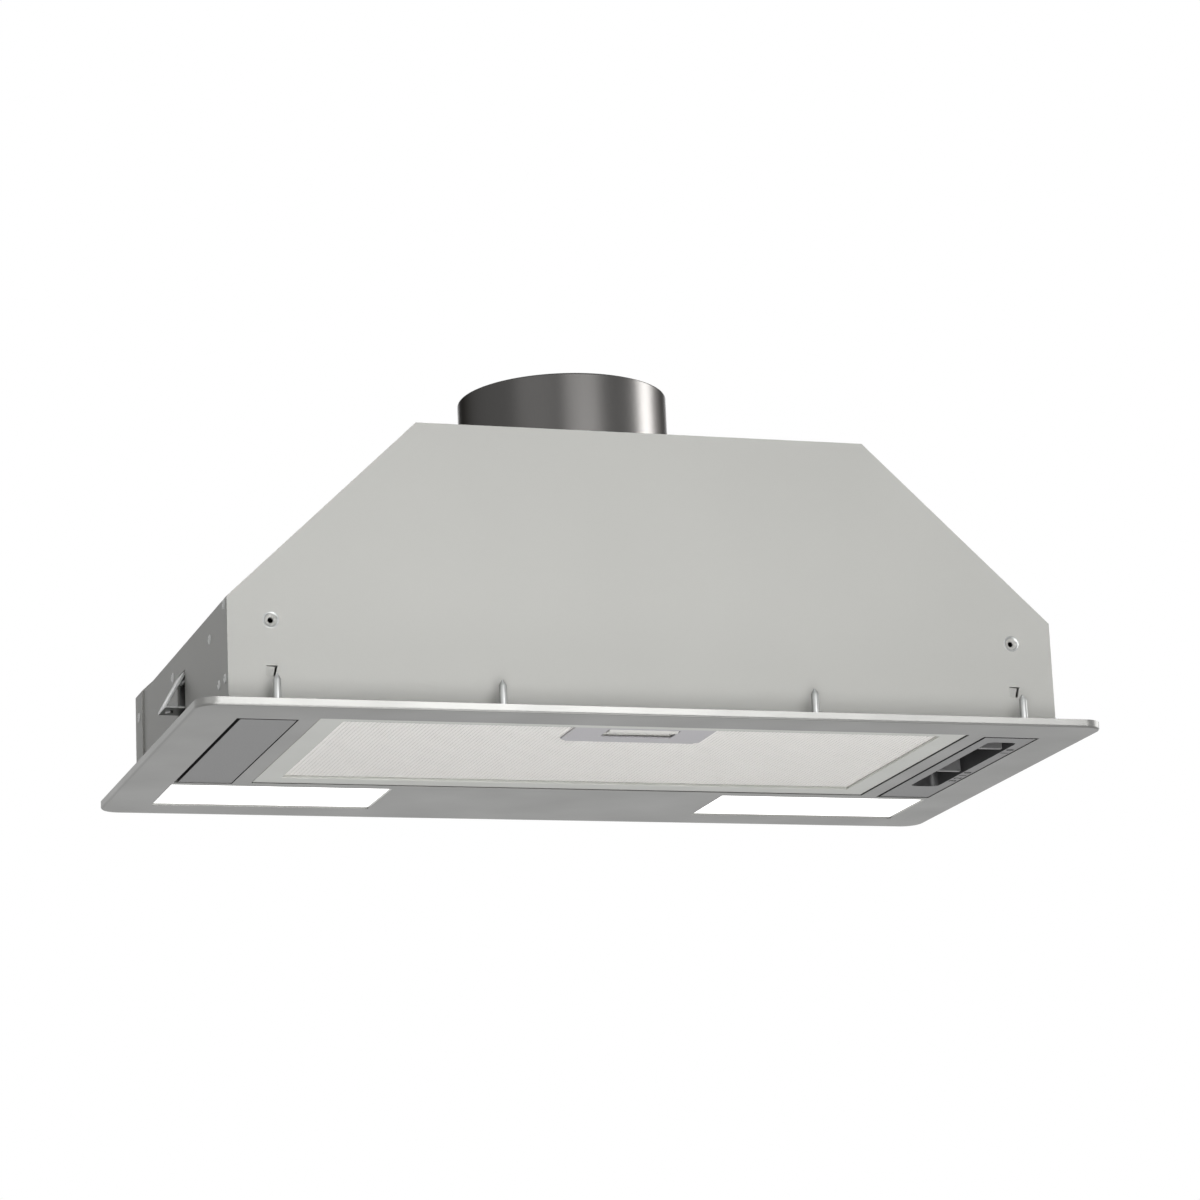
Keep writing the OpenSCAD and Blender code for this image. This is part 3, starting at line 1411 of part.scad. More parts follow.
module clip_brackets() {
    wall = body_x[1] - sheet_t;
    pocket_y = grown(clip_y, move_gap + clip_ear_t);
    strip_z = [clip_win_z[1], clip_win_z[1] + clip_strip_h];
    pocket_z = [clip_shelf_z, strip_z[1]];
    color("lightgray") for (s = sides) difference() {
        union() {
            block(sided([wall - clip_t, wall], s), [pocket_y[0], clip_y[1] + clip_w], strip_z);
            for (y = [pocket_y[0], pocket_y[1] - clip_ear_t])
                block(sided([wall - clip_pocket_d, wall], s), [y, y + clip_ear_t], pocket_z);
            block(sided([wall - clip_pocket_d - clip_t, wall - clip_pocket_d], s), pocket_y, pocket_z);
        }
        bar_y(s * clip_pivot_x, grown(clip_y, clip_w), clip_pivot_z, clip_pin_r);
        panel_rivet_holes();
    }
}

module clip_pins() {
    color("silver") for (s = sides)
        bar_y(s * clip_pivot_x, grown(clip_y, move_gap + clip_ear_t + clip_pin_r), clip_pivot_z, clip_pin_r);
}

face_plate();
front_panel();
rear_panel();
top_panel();
side_panel_left();
side_panel_right();
duct_collar();
damper_rod();
damper_flap_front();
damper_flap_rear();
collar_screws();
panel_rivets();
foot_nuts();
locating_pins();
scroll_wrap();
scroll_plate_left();
scroll_plate_right();
inlet_rings();
impeller();
motor_shaft();
motor_can();
motor_bracket();
motor_mounts();
motor_screws();
blower_screws();
capacitor();
capacitor_clamp();
terminal_box();
terminal_lid();
terminal_block();
cable_gland();
light_driver();
lamp_housing_left();
lamp_housing_right();
light_board_left();
light_board_right();
lens_left();
lens_right();
control_insert();
light_slider();
speed_slider();
light_switch();
speed_switch();
blank_insert();
filter_frame();
filter_net();
filter_pad();
filter_backing();
latch_plate();
latch_tray();
latch_slider();
latch_springs();
side_clip_left();
side_clip_right();
clip_brackets();
clip_pins();
clip_screw_left();
clip_screw_right();
power_leads();
light_leads();
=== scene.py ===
import json
import math

import bmesh
import bpy
import numpy as np
from mathutils import Matrix, Vector


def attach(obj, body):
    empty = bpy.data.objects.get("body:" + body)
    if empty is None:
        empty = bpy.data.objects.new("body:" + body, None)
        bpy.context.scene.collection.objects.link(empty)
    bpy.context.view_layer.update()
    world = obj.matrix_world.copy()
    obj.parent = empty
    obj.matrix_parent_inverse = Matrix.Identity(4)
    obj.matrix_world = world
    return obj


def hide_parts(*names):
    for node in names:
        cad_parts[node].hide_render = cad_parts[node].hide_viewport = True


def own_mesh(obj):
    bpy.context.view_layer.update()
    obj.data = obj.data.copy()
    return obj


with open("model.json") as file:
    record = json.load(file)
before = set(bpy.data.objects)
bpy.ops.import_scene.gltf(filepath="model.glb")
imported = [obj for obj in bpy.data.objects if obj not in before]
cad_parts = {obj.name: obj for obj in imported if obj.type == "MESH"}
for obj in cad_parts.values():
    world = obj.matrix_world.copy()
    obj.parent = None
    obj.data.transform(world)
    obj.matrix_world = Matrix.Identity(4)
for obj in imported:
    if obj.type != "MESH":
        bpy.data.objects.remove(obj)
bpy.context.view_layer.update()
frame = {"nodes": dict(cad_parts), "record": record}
nodes = frame["nodes"]
scene = bpy.context.scene
scene.view_settings.view_transform = "Standard"
mm = 0.001
print("frame loaded:", len(nodes), "CAD nodes")


# Mesh tools

def meshPiece(name, points, faces, smoothAngle=30.0):
    # One mesh object at the origin from loose points, its doubles merged and its faces turned outward
    mesh = bpy.data.meshes.new(name)
    places = np.asarray(points, float).reshape(-1, 3).tolist()
    mesh.from_pydata(places, [], [list(f) for f in faces])
    bm = bmesh.new()
    bm.from_mesh(mesh)
    bmesh.ops.remove_doubles(bm, verts=bm.verts, dist=1e-6)
    bmesh.ops.dissolve_degenerate(bm, edges=bm.edges, dist=1e-7)
    bmesh.ops.recalc_face_normals(bm, faces=bm.faces)
    bm.to_mesh(mesh)
    bm.free()
    mesh.shade_smooth()
    mesh.set_sharp_from_angle(angle=math.radians(smoothAngle))
    piece = bpy.data.objects.new(name, mesh)
    scene.collection.objects.link(piece)
    return piece


def gridFaces(rows, columns, start=0, closeColumns=False):
    # Quads between neighbouring points of a grid stored row by row
    i, j = np.meshgrid(np.arange(rows - 1), np.arange(columns - (not closeColumns)), indexing="ij")
    nextI, nextJ = i + 1, (j + 1) % columns
    quads = np.stack([i * columns + j, nextI * columns + j, nextI * columns + nextJ, i * columns + nextJ], -1)
    return (quads.reshape(-1, 4) + start).tolist()


def turned(profile, centre, steps, axis="z"):
    # (radius, height) pairs carried round a circle: x = r cos a, y = r sin a, z = h, then laid on the axis
    profile = np.asarray(profile, float)
    angle = np.linspace(0, 2 * math.pi, steps, endpoint=False)
    radius, height = profile[:, 0][:, None], np.repeat(profile[:, 1][:, None], steps, 1)
    along, across = radius * np.cos(angle), radius * np.sin(angle)
    order = {"z": (along, across, height), "x": (height, along, across), "-x": (-height, -along, across),
             "-y": (-across, -height, along)}[axis]
    return np.stack(order, -1) + np.asarray(centre, float), gridFaces(len(profile), steps, closeColumns=True)


def joined(parts):
    # Several (points, faces) surfaces as one list of points and one of faces
    points, faces, start = [], [], 0
    for part, quads in parts:
        part = np.asarray(part, float).reshape(-1, 3)
        points.append(part)
        faces += [[v + start for v in q] for q in quads]
        start += len(part)
    return np.concatenate(points), faces


def millimetres(surface):
    # The same surface with its points in metres
    return np.asarray(surface[0]) * mm, surface[1]


def cellSolid(xBreaks, yBreaks, zBreaks, filled):
    # Boxes between break planes: filled[i, j, k] says which are solid, with a quad where solid meets open
    x, y, z = (np.asarray(b, float) for b in (xBreaks, yBreaks, zBreaks))
    padded = np.pad(filled, 1)
    quads = []
    for axis in range(3):
        for side in (0, 1):
            here = [slice(1, -1)] * 3
            there = [slice(1, -1)] * 3
            there[axis] = slice(2, None) if side else slice(0, -2)
            i, j, k = np.nonzero(padded[tuple(here)] & ~padded[tuple(there)])
            low, high = [i, j, k], [i + 1, j + 1, k + 1]
            low[axis] = high[axis] = high[axis] if side else low[axis]
            a, b = [n for n in range(3) if n != axis]
            corners = []
            for pa, pb in ((0, 0), (1, 0), (1, 1), (0, 1)):
                c = list(low)
                c[a] = high[a] if pa else low[a]
                c[b] = high[b] if pb else low[b]
                corners.append(np.stack([x[c[0]], y[c[1]], z[c[2]]], -1))
            quads.append(np.stack(corners, 1))
    points = np.concatenate(quads).reshape(-1, 3)
    return points, np.arange(len(points)).reshape(-1, 4).tolist()


sharpTurn = math.radians(35)  # faces that turn by more than this meet in an edge


def bevelled(piece, width):
    # Rounds the sharp edges of a piece
    bevel = piece.modifiers.new("edges", "BEVEL")
    bevel.width = width
    bevel.segments = 2
    bevel.limit_method = "ANGLE"
    bevel.angle_limit = sharpTurn
    bevel.harden_normals = True


def foldedEdges(piece, width, small, chosen):
    # Rounds the chosen sharp edges by width and the other sharp edges by the share small of it
    mesh = piece.data
    bm = bmesh.new()
    bm.from_mesh(mesh)
    weight = bm.edges.layers.float.new("bevel_weight_edge")
    for edge in bm.edges:
        if len(edge.link_faces) == 2 and edge.calc_face_angle() > sharpTurn:
            wide = chosen(edge.verts[0].co / mm) and chosen(edge.verts[1].co / mm)
            edge[weight] = 1.0 if wide else small
    bm.to_mesh(mesh)
    bm.free()
    bevel = piece.modifiers.new("edges", "BEVEL")
    bevel.width = width
    bevel.segments = 3
    bevel.limit_method = "WEIGHT"
    bevel.harden_normals = True
    return piece


print("mesh tools ready")


# Finishes: one procedural material for each slot

def srgb(r, g, b):
    # Screen tones 0 to 255 as linear colour
    tone = np.array([r, g, b]) / 255.0
    linear = np.where(tone <= 0.04045, tone / 12.92, ((tone + 0.055) / 1.055) ** 2.4)
    return (*linear.tolist(), 1.0)


class Finish:
    # A node material with object coordinates, small colour and roughness changes, and a bump
    def __init__(self, name, colour, metallic, roughness, **sockets):
        self.material = bpy.data.materials.new(name)
        self.material.use_nodes = True
        self.tree = self.material.node_tree
        self.shader = self.tree.nodes["Principled BSDF"]
        self.colour = colour
        self.shader.inputs["Base Color"].default_value = colour
        self.shader.inputs["Metallic"].default_value = metallic
        self.shader.inputs["Roughness"].default_value = roughness
        for socket, value in sockets.items():
            self.shader.inputs[socket].default_value = value
        self.place = self.tree.nodes.new("ShaderNodeTexCoord")
        self.normal = None

    def noise(self, size, detail, stretch=(1, 1, 1)):
        # Noise whose grain is about size metres across, drawn out along an axis by stretch
        mapping = self.tree.nodes.new("ShaderNodeMapping")
        mapping.inputs["Scale"].default_value = [1 / (size * s) for s in stretch]
        self.tree.links.new(self.place.outputs["Object"], mapping.inputs["Vector"])
        noise = self.tree.nodes.new("ShaderNodeTexNoise")
        noise.inputs["Scale"].default_value = 1.0
        noise.inputs["Detail"].default_value = detail
        self.tree.links.new(mapping.outputs["Vector"], noise.inputs["Vector"])
        return noise.outputs["Fac"]

    def mapped(self, value, low, high, fromLow=0.3, fromHigh=0.7):
        # Noise mostly runs from 0.3 to 0.7, and this spreads it from low to high
        ranged = self.tree.nodes.new("ShaderNodeMapRange")
        limits = {"From Min": fromLow, "From Max": fromHigh, "To Min": low, "To Max": high}
        for socket, number in limits.items():
            ranged.inputs[socket].default_value = number
        self.tree.links.new(value, ranged.inputs["Value"])
        return ranged.outputs["Result"]

    def tint(self, value, darker, lighter):
        # The base colour times a factor that runs with the value
        first = [c * darker for c in self.colour[:3]] + [1.0]
        second = [min(1.0, c * lighter) for c in self.colour[:3]] + [1.0]
        return self.blended(self.mapped(value, 0, 1), first, second)

    def rough(self, value, low, high):
        self.tree.links.new(self.mapped(value, low, high), self.shader.inputs["Roughness"])
        return self

    def height(self, low, high):
        # 0 below low and 1 above high, by the object's own Z
        parted = self.tree.nodes.new("ShaderNodeSeparateXYZ")
        self.tree.links.new(self.place.outputs["Object"], parted.inputs["Vector"])
        return self.mapped(parted.outputs["Z"], 0, 1, low, high)

    def blended(self, value, first, second):
        # Sockets 6, 7 and output 2 are the mix node's two colours and its colour result
        mix = self.tree.nodes.new("ShaderNodeMix")
        mix.data_type = "RGBA"
        mix.inputs[6].default_value = first
        mix.inputs[7].default_value = second
        self.tree.links.new(value, mix.inputs[0])
        self.tree.links.new(mix.outputs[2], self.shader.inputs["Base Color"])
        return self

    def bump(self, value, depth):
        # depth is the relief's height in metres
        bump = self.tree.nodes.new("ShaderNodeBump")
        bump.inputs["Strength"].default_value = 1.0
        bump.inputs["Distance"].default_value = depth
        self.tree.links.new(value, bump.inputs["Height"])
        if self.normal is not None:
            self.tree.links.new(self.normal, bump.inputs["Normal"])
        self.normal = bump.outputs["Normal"]
        self.tree.links.new(self.normal, self.shader.inputs["Normal"])
        return self


def brushedMetal(name, colour, roughness, lines=(60, 1, 1), depth=0.002 * mm, change=0.04, metallic=1.0,
                 edge=1.0):
    # Fine lines drawn out along one axis, with a slow drift of tone; edge darkens its grazing reflections
    finish = Finish(name, colour, metallic, roughness, **{"Specular Tint": (edge, edge, edge, 1.0)})
    fine = finish.noise(0.25 * mm, 2.0, lines)
    slow = finish.noise(60 * mm, 2.0)
    finish.tint(fine, 1 - change, 1 + change).rough(slow, roughness - 0.03, roughness + 0.03)
    return finish.bump(fine, depth)


def coatedSheet(name, colour, roughness, depth=0.004 * mm, specular=0.5):
    # Smooth coating: a faint orange peel and a slow drift of tone
    finish = Finish(name, colour, 0.0, roughness, **{"Specular IOR Level": specular})
    peel = finish.noise(1.2 * mm, 2.0)
    slow = finish.noise(90 * mm, 3.0)
    finish.tint(slow, 0.985, 1.015).rough(peel, roughness - 0.03, roughness + 0.03)
    return finish.bump(peel, depth)


def mouldedPlastic(name, colour, roughness, depth=0.006 * mm):
    # Spark-eroded grain, with a slight change of tone
    finish = Finish(name, colour, 0.0, roughness)
    fine = finish.noise(0.5 * mm, 3.0)
    slow = finish.noise(30 * mm, 2.0)
    return finish.tint(slow, 0.97, 1.03).rough(fine, roughness - 0.05, roughness + 0.05).bump(fine, depth)


def insertWithPaintedShade(name, face, body):
    # The insert's own grey on its face, with painted shade above it: from a little above the face on, walls
    # and hollows take a dark tone that stands for the shade in the gap round the insert and in its trough
    edge = 0.5 * mm
    finish = Finish(name, face, 0.0, 0.42)
    fine = finish.noise(0.5 * mm, 3.0)
    # Painted shade: everything higher than edge takes the dark tone instead of the face grey
    finish.blended(finish.height(edge, edge + 0.1 * mm), face, body)
    return finish.rough(fine, 0.38, 0.48).bump(fine, 0.005 * mm)


def wovenNet(name, wire, shadedWool):
    # Light satin wire, with painted shade from the face net's back on: the wool and everything above it, the
    # back net too, are drawn darker to stand for the shade between the wires
    edge = 2.66 * mm
    finish = Finish(name, wire, 0.0, 0.5)
    fine = finish.noise(0.4 * mm, 2.0)
    # Painted shade: from edge up the darker tone replaces the wire's colour
    finish.blended(finish.height(edge, edge + 0.02 * mm), wire, shadedWool)
    return finish.rough(fine, 0.45, 0.58).bump(fine, 0.01 * mm)


def spangledZinc(name, colour, roughness=0.38):
    # Galvanised sheet: spangles of slightly different tone and gloss
    finish = Finish(name, colour, 1.0, roughness)
    mapping = finish.tree.nodes.new("ShaderNodeMapping")
    mapping.inputs["Scale"].default_value = (240, 240, 240)  # spangles a metre
    finish.tree.links.new(finish.place.outputs["Object"], mapping.inputs["Vector"])
    cells = finish.tree.nodes.new("ShaderNodeTexVoronoi")
    cells.inputs["Scale"].default_value = 1.0
    finish.tree.links.new(mapping.outputs["Vector"], cells.inputs["Vector"])
    grey = finish.tree.nodes.new("ShaderNodeRGBToBW")
    finish.tree.links.new(cells.outputs["Color"], grey.inputs["Color"])
    fine = finish.noise(0.4 * mm, 2.0)
    value = grey.outputs["Val"]
    finish.tint(value, 0.95, 1.05).rough(value, roughness - 0.03, roughness + 0.04)
    return finish.bump(fine, 0.003 * mm)


finishes = {
    "plate_steel": brushedMetal("plateSteel", srgb(126, 126, 124), 0.36),
    "canopy_sheet": coatedSheet("canopySheet", srgb(191, 191, 187), 0.45, specular=0.2),
    "collar_steel": brushedMetal("collarSteel", srgb(73, 72, 71), 0.31, lines=(1, 1, 40), change=0.02,
                                 edge=0.3),
    "damper_sheet": brushedMetal("damperSheet", srgb(176, 177, 178), 0.42, lines=(40, 1, 1)),
    "zinc_steel": spangledZinc("zincSteel", srgb(154, 155, 154), 0.36),
    "scroll_sheet": spangledZinc("scrollSheet", srgb(172, 174, 176)),
    "impeller_plastic": mouldedPlastic("impellerPlastic", srgb(66, 68, 71), 0.55),
    "motor_paint": coatedSheet("motorPaint", srgb(42, 42, 44), 0.45, depth=0.02 * mm),
    "mount_rubber": mouldedPlastic("mountRubber", srgb(28, 28, 29), 0.75),
    "white_plastic": mouldedPlastic("whitePlastic", srgb(222, 221, 217), 0.45),
    "dark_plastic": mouldedPlastic("darkPlastic", srgb(34, 34, 36), 0.5),
    # The face grey, and painted shade on the insert's walls and hollows above the face
    "insert_plastic": insertWithPaintedShade("insertPaintedShade", srgb(114, 114, 114), srgb(60, 60, 61)),
    "slider_plastic": mouldedPlastic("sliderPlastic", srgb(112, 112, 112), 0.40),
    "light_board": mouldedPlastic("lightBoard", srgb(226, 228, 220), 0.35, depth=0.002 * mm),
    "light_lens": mouldedPlastic("lightLens", srgb(250, 250, 248), 0.30, depth=0.002 * mm),
    "filter_alloy": brushedMetal("filterAlloy", srgb(190, 191, 186), 0.40, lines=(30, 1, 1),
                                 depth=0.0015 * mm, metallic=0.4),
    # Light wire, and painted shade on the wool and back net behind the face net
    "filter_mesh": wovenNet("filterMeshPaintedShade", srgb(255, 253, 249), srgb(194, 192, 188)),
    "latch_grey": coatedSheet("latchGrey", srgb(170, 168, 172), 0.38),
    "spring_steel": brushedMetal("springSteel", srgb(160, 160, 160), 0.3, lines=(1, 1, 1)),
    "lead_black": mouldedPlastic("leadBlack", srgb(26, 26, 27), 0.55),
    "lead_white": mouldedPlastic("leadWhite", srgb(214, 213, 210), 0.5),
}
lensShader = finishes["light_lens"].shader
lensShader.inputs["Emission Color"].default_value = (1, 1, 0.985, 1)
lensShader.inputs["Emission Strength"].default_value = 1.1
print("finishes ready:", len(finishes))


def finished(piece, slot):
    piece.data.materials.clear()
    piece.data.materials.append(finishes[slot].material)
    return piece


# CAD nodes that stay: a finish, merged corners and softened edges

# Millimetres; the five sheet panels stay sharp, because a bevel creases their shading
edgeWidths = {
    "control_insert": 0.35, "blank_insert": 0.35, "light_slider": 0.4, "speed_slider": 0.4,
    "latch_plate": 0.3, "latch_slider": 0.4, "filter_frame": 0.3, "terminal_box": 0.8, "terminal_lid": 0.5,
    "light_driver": 1.2, "lamp_housing_left": 0.8, "lamp_housing_right": 0.8, "light_switch": 0.5,
    "speed_switch": 0.5, "side_clip_left": 0.3, "side_clip_right": 0.3, "clip_brackets": 0.3,
    "latch_tray": 0.25,
}
subparts = {row["node"]: row["material_slot"] for row in frame["record"]["subparts"]}
for node, slot in subparts.items():
    finished(nodes[node], slot)
    if node in edgeWidths:
        weld = nodes[node].modifiers.new("merged corners", "WELD")
        weld.merge_threshold = 1e-6
        bevelled(nodes[node], edgeWidths[node] * mm)
print("CAD nodes finished")


# The face plate

# Windows: inner and outer X, near and far Y. Opening: half width, near and far Y
facePlate = {"width": 520.0, "depth": 290.0, "sheet": 1.2, "rim": 4.6, "corner": 12.0, "cornerSteps": 10,
             "edgeSteps": 4, "opening": (188.0, -118.0, 53.0), "hem": 4.0, "hemTop": 2.7, "support": 0.3,
             "sideWindow": (198.5, 232.5, -114.0, 56.0), "lip": 7.0,
             "lightWindow": (102.0, 232.5, 61.0, 120.0), "fold": 1.2, "edge": 0.25}


def concentric(u, v):
    # A unit square's corner drawn round: a point at distance max(u, v) goes onto the circle of that radius
    u, v = np.asarray(u, float), np.asarray(v, float)
    m = np.maximum(u, v)
    ratio = np.where(u >= v, v / np.maximum(u, 1e-9), 2 - u / np.maximum(v, 1e-9)) * math.pi / 4
    return m * np.cos(ratio), m * np.sin(ratio)


def makeFacePlate(p):
    # Sheet cells between break lines, with the outline's corners and its lower edge drawn round
    halfX, halfY, sheet = p["width"] / 2, p["depth"] / 2, p["sheet"]
    openX, openNear, openFar = p["opening"]
    sideIn, sideOut, sideNear, sideFar = p["sideWindow"]
    lightIn, lightOut, lightNear, lightFar = p["lightWindow"]
    ring = np.linspace(0, sheet, p["edgeSteps"] + 1)
    arc = np.linspace(0, p["corner"] - sheet, p["cornerSteps"])
    outer = np.concatenate([arc, p["corner"] - sheet + ring[1:]]) - p["corner"]
    x = np.unique(np.round(np.concatenate([
        halfX + outer, [sideOut + sheet, sideOut, sideIn, sideIn - sheet],
        [openX + p["hem"], openX, lightIn, lightOut]]), 6))
    x = np.unique(np.concatenate([-x, x]))
    y = np.unique(np.round(np.concatenate([
        halfY + outer, -halfY - outer, [openNear, openFar, openNear - p["hem"], openFar + p["hem"]],
        [sideNear, sideFar, sideNear - sheet, sideFar + sheet, lightNear, lightFar]]), 6))
    z = np.unique(np.concatenate([ring, [sheet + p["support"], p["hemTop"], p["rim"], p["lip"]]]))
    cx, cy, cz = np.meshgrid(*((b[1:] + b[:-1]) / 2 for b in (x, y, z)), indexing="ij")
    ax = np.abs(cx)

    def within(x0, x1, y0, y1):
        return (ax > x0) & (ax < x1) & (cy > y0) & (cy < y1)

    hole = within(-1, openX, openNear, openFar) | within(lightIn, lightOut, lightNear, lightFar)
    hole |= within(sideIn, sideOut, sideNear, sideFar)
    hem = within(-1, openX + p["hem"], openNear - p["hem"], openFar + p["hem"]) & (cz < p["hemTop"])
    lips = within(sideIn - sheet, sideOut + sheet, sideNear - sheet, sideFar + sheet)
    rim = ((ax > halfX - sheet) | (np.abs(cy) > halfY - sheet)) & (cz < p["rim"])
    points, faces = cellSolid(x, y, z, ((cz < sheet) | hem | lips | rim) & ~hole)
    side = np.sign(points[:, :2])
    past = np.abs(points[:, :2]) - (np.array([halfX, halfY]) - p["corner"])
    corner = (past > 0).all(1)
    u, v = concentric(np.clip(past[:, 0], 0, None) / p["corner"], np.clip(past[:, 1], 0, None) / p["corner"])
    rounded = np.stack([u, v], 1) * p["corner"]
    out = np.where(corner[:, None], rounded, past)
    reach = np.where(corner, np.linalg.norm(rounded, axis=1), past.max(1))
    outward = rounded / np.maximum(np.linalg.norm(rounded, axis=1), 1e-9)[:, None]
    way = np.where(corner[:, None], outward, (past >= past.max(1, keepdims=True)).astype(float))
    beyond = reach - (p["corner"] - sheet)
    edge = (beyond > 1e-6) & (points[:, 2] < sheet - 1e-6)
    eu, ev = concentric(np.clip(beyond, 0, None) / sheet, np.clip(sheet - points[:, 2], 0, None) / sheet)
    out = out + np.where(edge, eu * sheet - beyond, 0)[:, None] * way
    points[:, 2] = np.where(edge, sheet - ev * sheet, points[:, 2])
    points[:, :2] = side * (out + np.array([halfX, halfY]) - p["corner"])
    piece = meshPiece("facePlate", points * mm, faces)

    def onFarHem(v):
        return abs(v.z) < 0.01 and abs(v.y - openFar) < 0.01 and abs(v.x) < openX + 0.01

    return foldedEdges(piece, p["fold"] * mm, p["edge"] / p["fold"], onFarHem)


plate = finished(makeFacePlate(facePlate), "plate_steel")
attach(plate, "housing")
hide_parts("face_plate")
print("face plate made")


# The filter's face net and the net behind its pad

# Slot: half width, near and far Y. Insets and stops: from the net's edges to the first and last wires
faceNet = {"halfWidth": 186.1, "near": -116.1, "far": 51.3, "middle": 2.4, "warpPitch": 2.4, "warpHalf": 0.78,
           "weftPitch": 2.4, "weftHalf": 0.6, "thick": 0.2, "wave": 0.09, "slot": (22.0, -105.4, -84.2),
           "trayHalf": 38.6, "trayFar": -58.8, "fleece": (2.692, 2.698), "warpInset": 1.5, "warpStop": 1.2,
           "weftInset": 1.2, "weftStop": 1.0, "smooth": 80.0}
backNet = {**faceNet, "middle": 8.4, "warpPitch": 3.6, "warpHalf": 1.35, "weftPitch": 3.6, "weftHalf": 1.25,
           "slot": (0.0, -105.4, -84.2), "fleece": (8.102, 8.108)}


def wires(p, along, across, halfWidth, first, swap):
    # Flat diamond wires: across + half width cos a, along, middle + wave (-1)^k + thickness sin a
    angle = np.linspace(0, 2 * math.pi, 4, endpoint=False)
    c, s, a = np.meshgrid(across, along, angle, indexing="ij")
    row, step = np.meshgrid(np.arange(len(across)), np.arange(len(along)), indexing="ij")
    lift = np.where((row + step + first) % 2 == 0, 1.0, -1.0)[..., None] * p["wave"]
    holeX, holeNear, holeFar = p["slot"]
    x, y = (s, c) if swap else (c, s)
    inside = (np.abs(x) < holeX) & (y > holeNear) & (y < holeFar)
    low, high = (-holeX, holeX) if swap else (holeNear, holeFar)
    clamped = np.where(s < (low + high) / 2, low, high)
    s = np.where(inside, clamped, s)
    end = (s == along[0]) | (s == along[-1])
    size = np.where(inside | end, 0.0, 1.0)
    wide = c + halfWidth * np.cos(a) * size
    tall = p["middle"] + lift * size + p["thick"] * np.sin(a) * size
    points = np.stack([s, wide, tall] if swap else [wide, s, tall], -1)
    faces = []
    for k in range(len(across)):
        faces += gridFaces(len(along), 4, k * len(along) * 4, closeColumns=True)
    return points, faces


def fleece(p):
    # A thin layer of wool between the net and the hollow latch tray, open round the slot
    holeX, holeNear, holeFar = p["slot"]
    x = np.unique([-p["trayHalf"], -holeX, holeX, p["trayHalf"]])
    y = np.array([p["near"], holeNear, holeFar, p["trayFar"]])
    centreX, centreY = np.meshgrid((x[1:] + x[:-1]) / 2, (y[1:] + y[:-1]) / 2, indexing="ij")
    hole = (np.abs(centreX) < holeX) & (centreY > holeNear) & (centreY < holeFar)
    return cellSolid(x, y, p["fleece"], ~hole[..., None])


def makeNet(name, p):
    warp = np.arange(-p["halfWidth"] + p["warpInset"], p["halfWidth"] - p["warpStop"], p["warpPitch"])
    weft = np.arange(p["near"] + p["weftInset"], p["far"] - p["weftStop"], p["weftPitch"])
    alongY = np.concatenate([[p["near"]], weft, [p["far"]]])
    alongX = np.concatenate([[-p["halfWidth"]], warp, [p["halfWidth"]]])
    warpWires = wires(p, alongY, warp, p["warpHalf"], 0, False)
    weftWires = wires(p, alongX, weft, p["weftHalf"], 1, True)
    return meshPiece(name, *millimetres(joined([warpWires, weftWires, fleece(p)])), p["smooth"])


nets = (("faceNet", faceNet, "filter_net"), ("backNet", backNet, "filter_backing"))
for netName, netSettings, netNode in nets:
    net = finished(makeNet(netName, netSettings), "filter_mesh")
    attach(net, "filter")
    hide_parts(netNode)
    print(netName, "woven:", len(net.data.polygons), "faces")


# The latch's two springs

latchSprings = {"x": 24.667, "near": -72.86, "far": -60.34, "z": 5.825, "radius": 1.1, "wire": 0.3,
                "turns": 6, "stepsATurn": 16, "sides": 8, "smooth": 80.0, "kept": 0.6}


def makeSprings(p):
    # A tube round a helix: centre (x + r cos t, y rising with t, z + r sin t), rings square to the path
    t = np.linspace(0, 2 * math.pi * p["turns"], p["turns"] * p["stepsATurn"] + 1)[:, None]
    rise = (p["far"] - p["near"]) / (2 * math.pi * p["turns"])
    outward = np.concatenate([np.cos(t), 0 * t, np.sin(t)], 1)
    tangent = np.concatenate([-p["radius"] * np.sin(t), rise + 0 * t, p["radius"] * np.cos(t)], 1)
    binormal = np.cross(tangent / np.linalg.norm(tangent, axis=1)[:, None], outward)
    angle = np.linspace(0, 2 * math.pi, p["sides"], endpoint=False)[None, :, None]
    ring = outward[:, None] * np.cos(angle) + binormal[:, None] * np.sin(angle)
    size = np.full((len(t), 1, 1), p["wire"])
    size[[0, -1]] = 0.0
    parts = []
    for side in (-1, 1):
        axis = np.concatenate([0 * t + side * p["x"], p["near"] + rise * t, 0 * t + p["z"]], 1)
        centre = outward * p["radius"] + axis
        parts.append((centre[:, None] + ring * size, gridFaces(len(t), p["sides"], closeColumns=True)))
    return meshPiece("latchSprings", *millimetres(joined(parts)), p["smooth"])


springs = finished(makeSprings(latchSprings), "spring_steel")
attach(springs, "filter")
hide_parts("latch_springs")
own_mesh(springs)
print("latch springs coiled")


# The duct collar

ductCollar = {"centre": (0.0, 25.0, 167.0), "outer": 62.2, "wall": 1.0, "flange": 72.2, "height": 62.0,
              "ledge": 9.0, "ledgeWidth": 4.2, "steps": 160, "seamWidth": 11.0, "seamTurn": 78.0,
              "seamSteps": 13, "seamRows": 60, "seamSunk": 0.05, "seamRise": 0.45,
              "spots": 7, "spotMargin": 4.0, "spotDepth": 0.25, "spotRadius": 1.4}


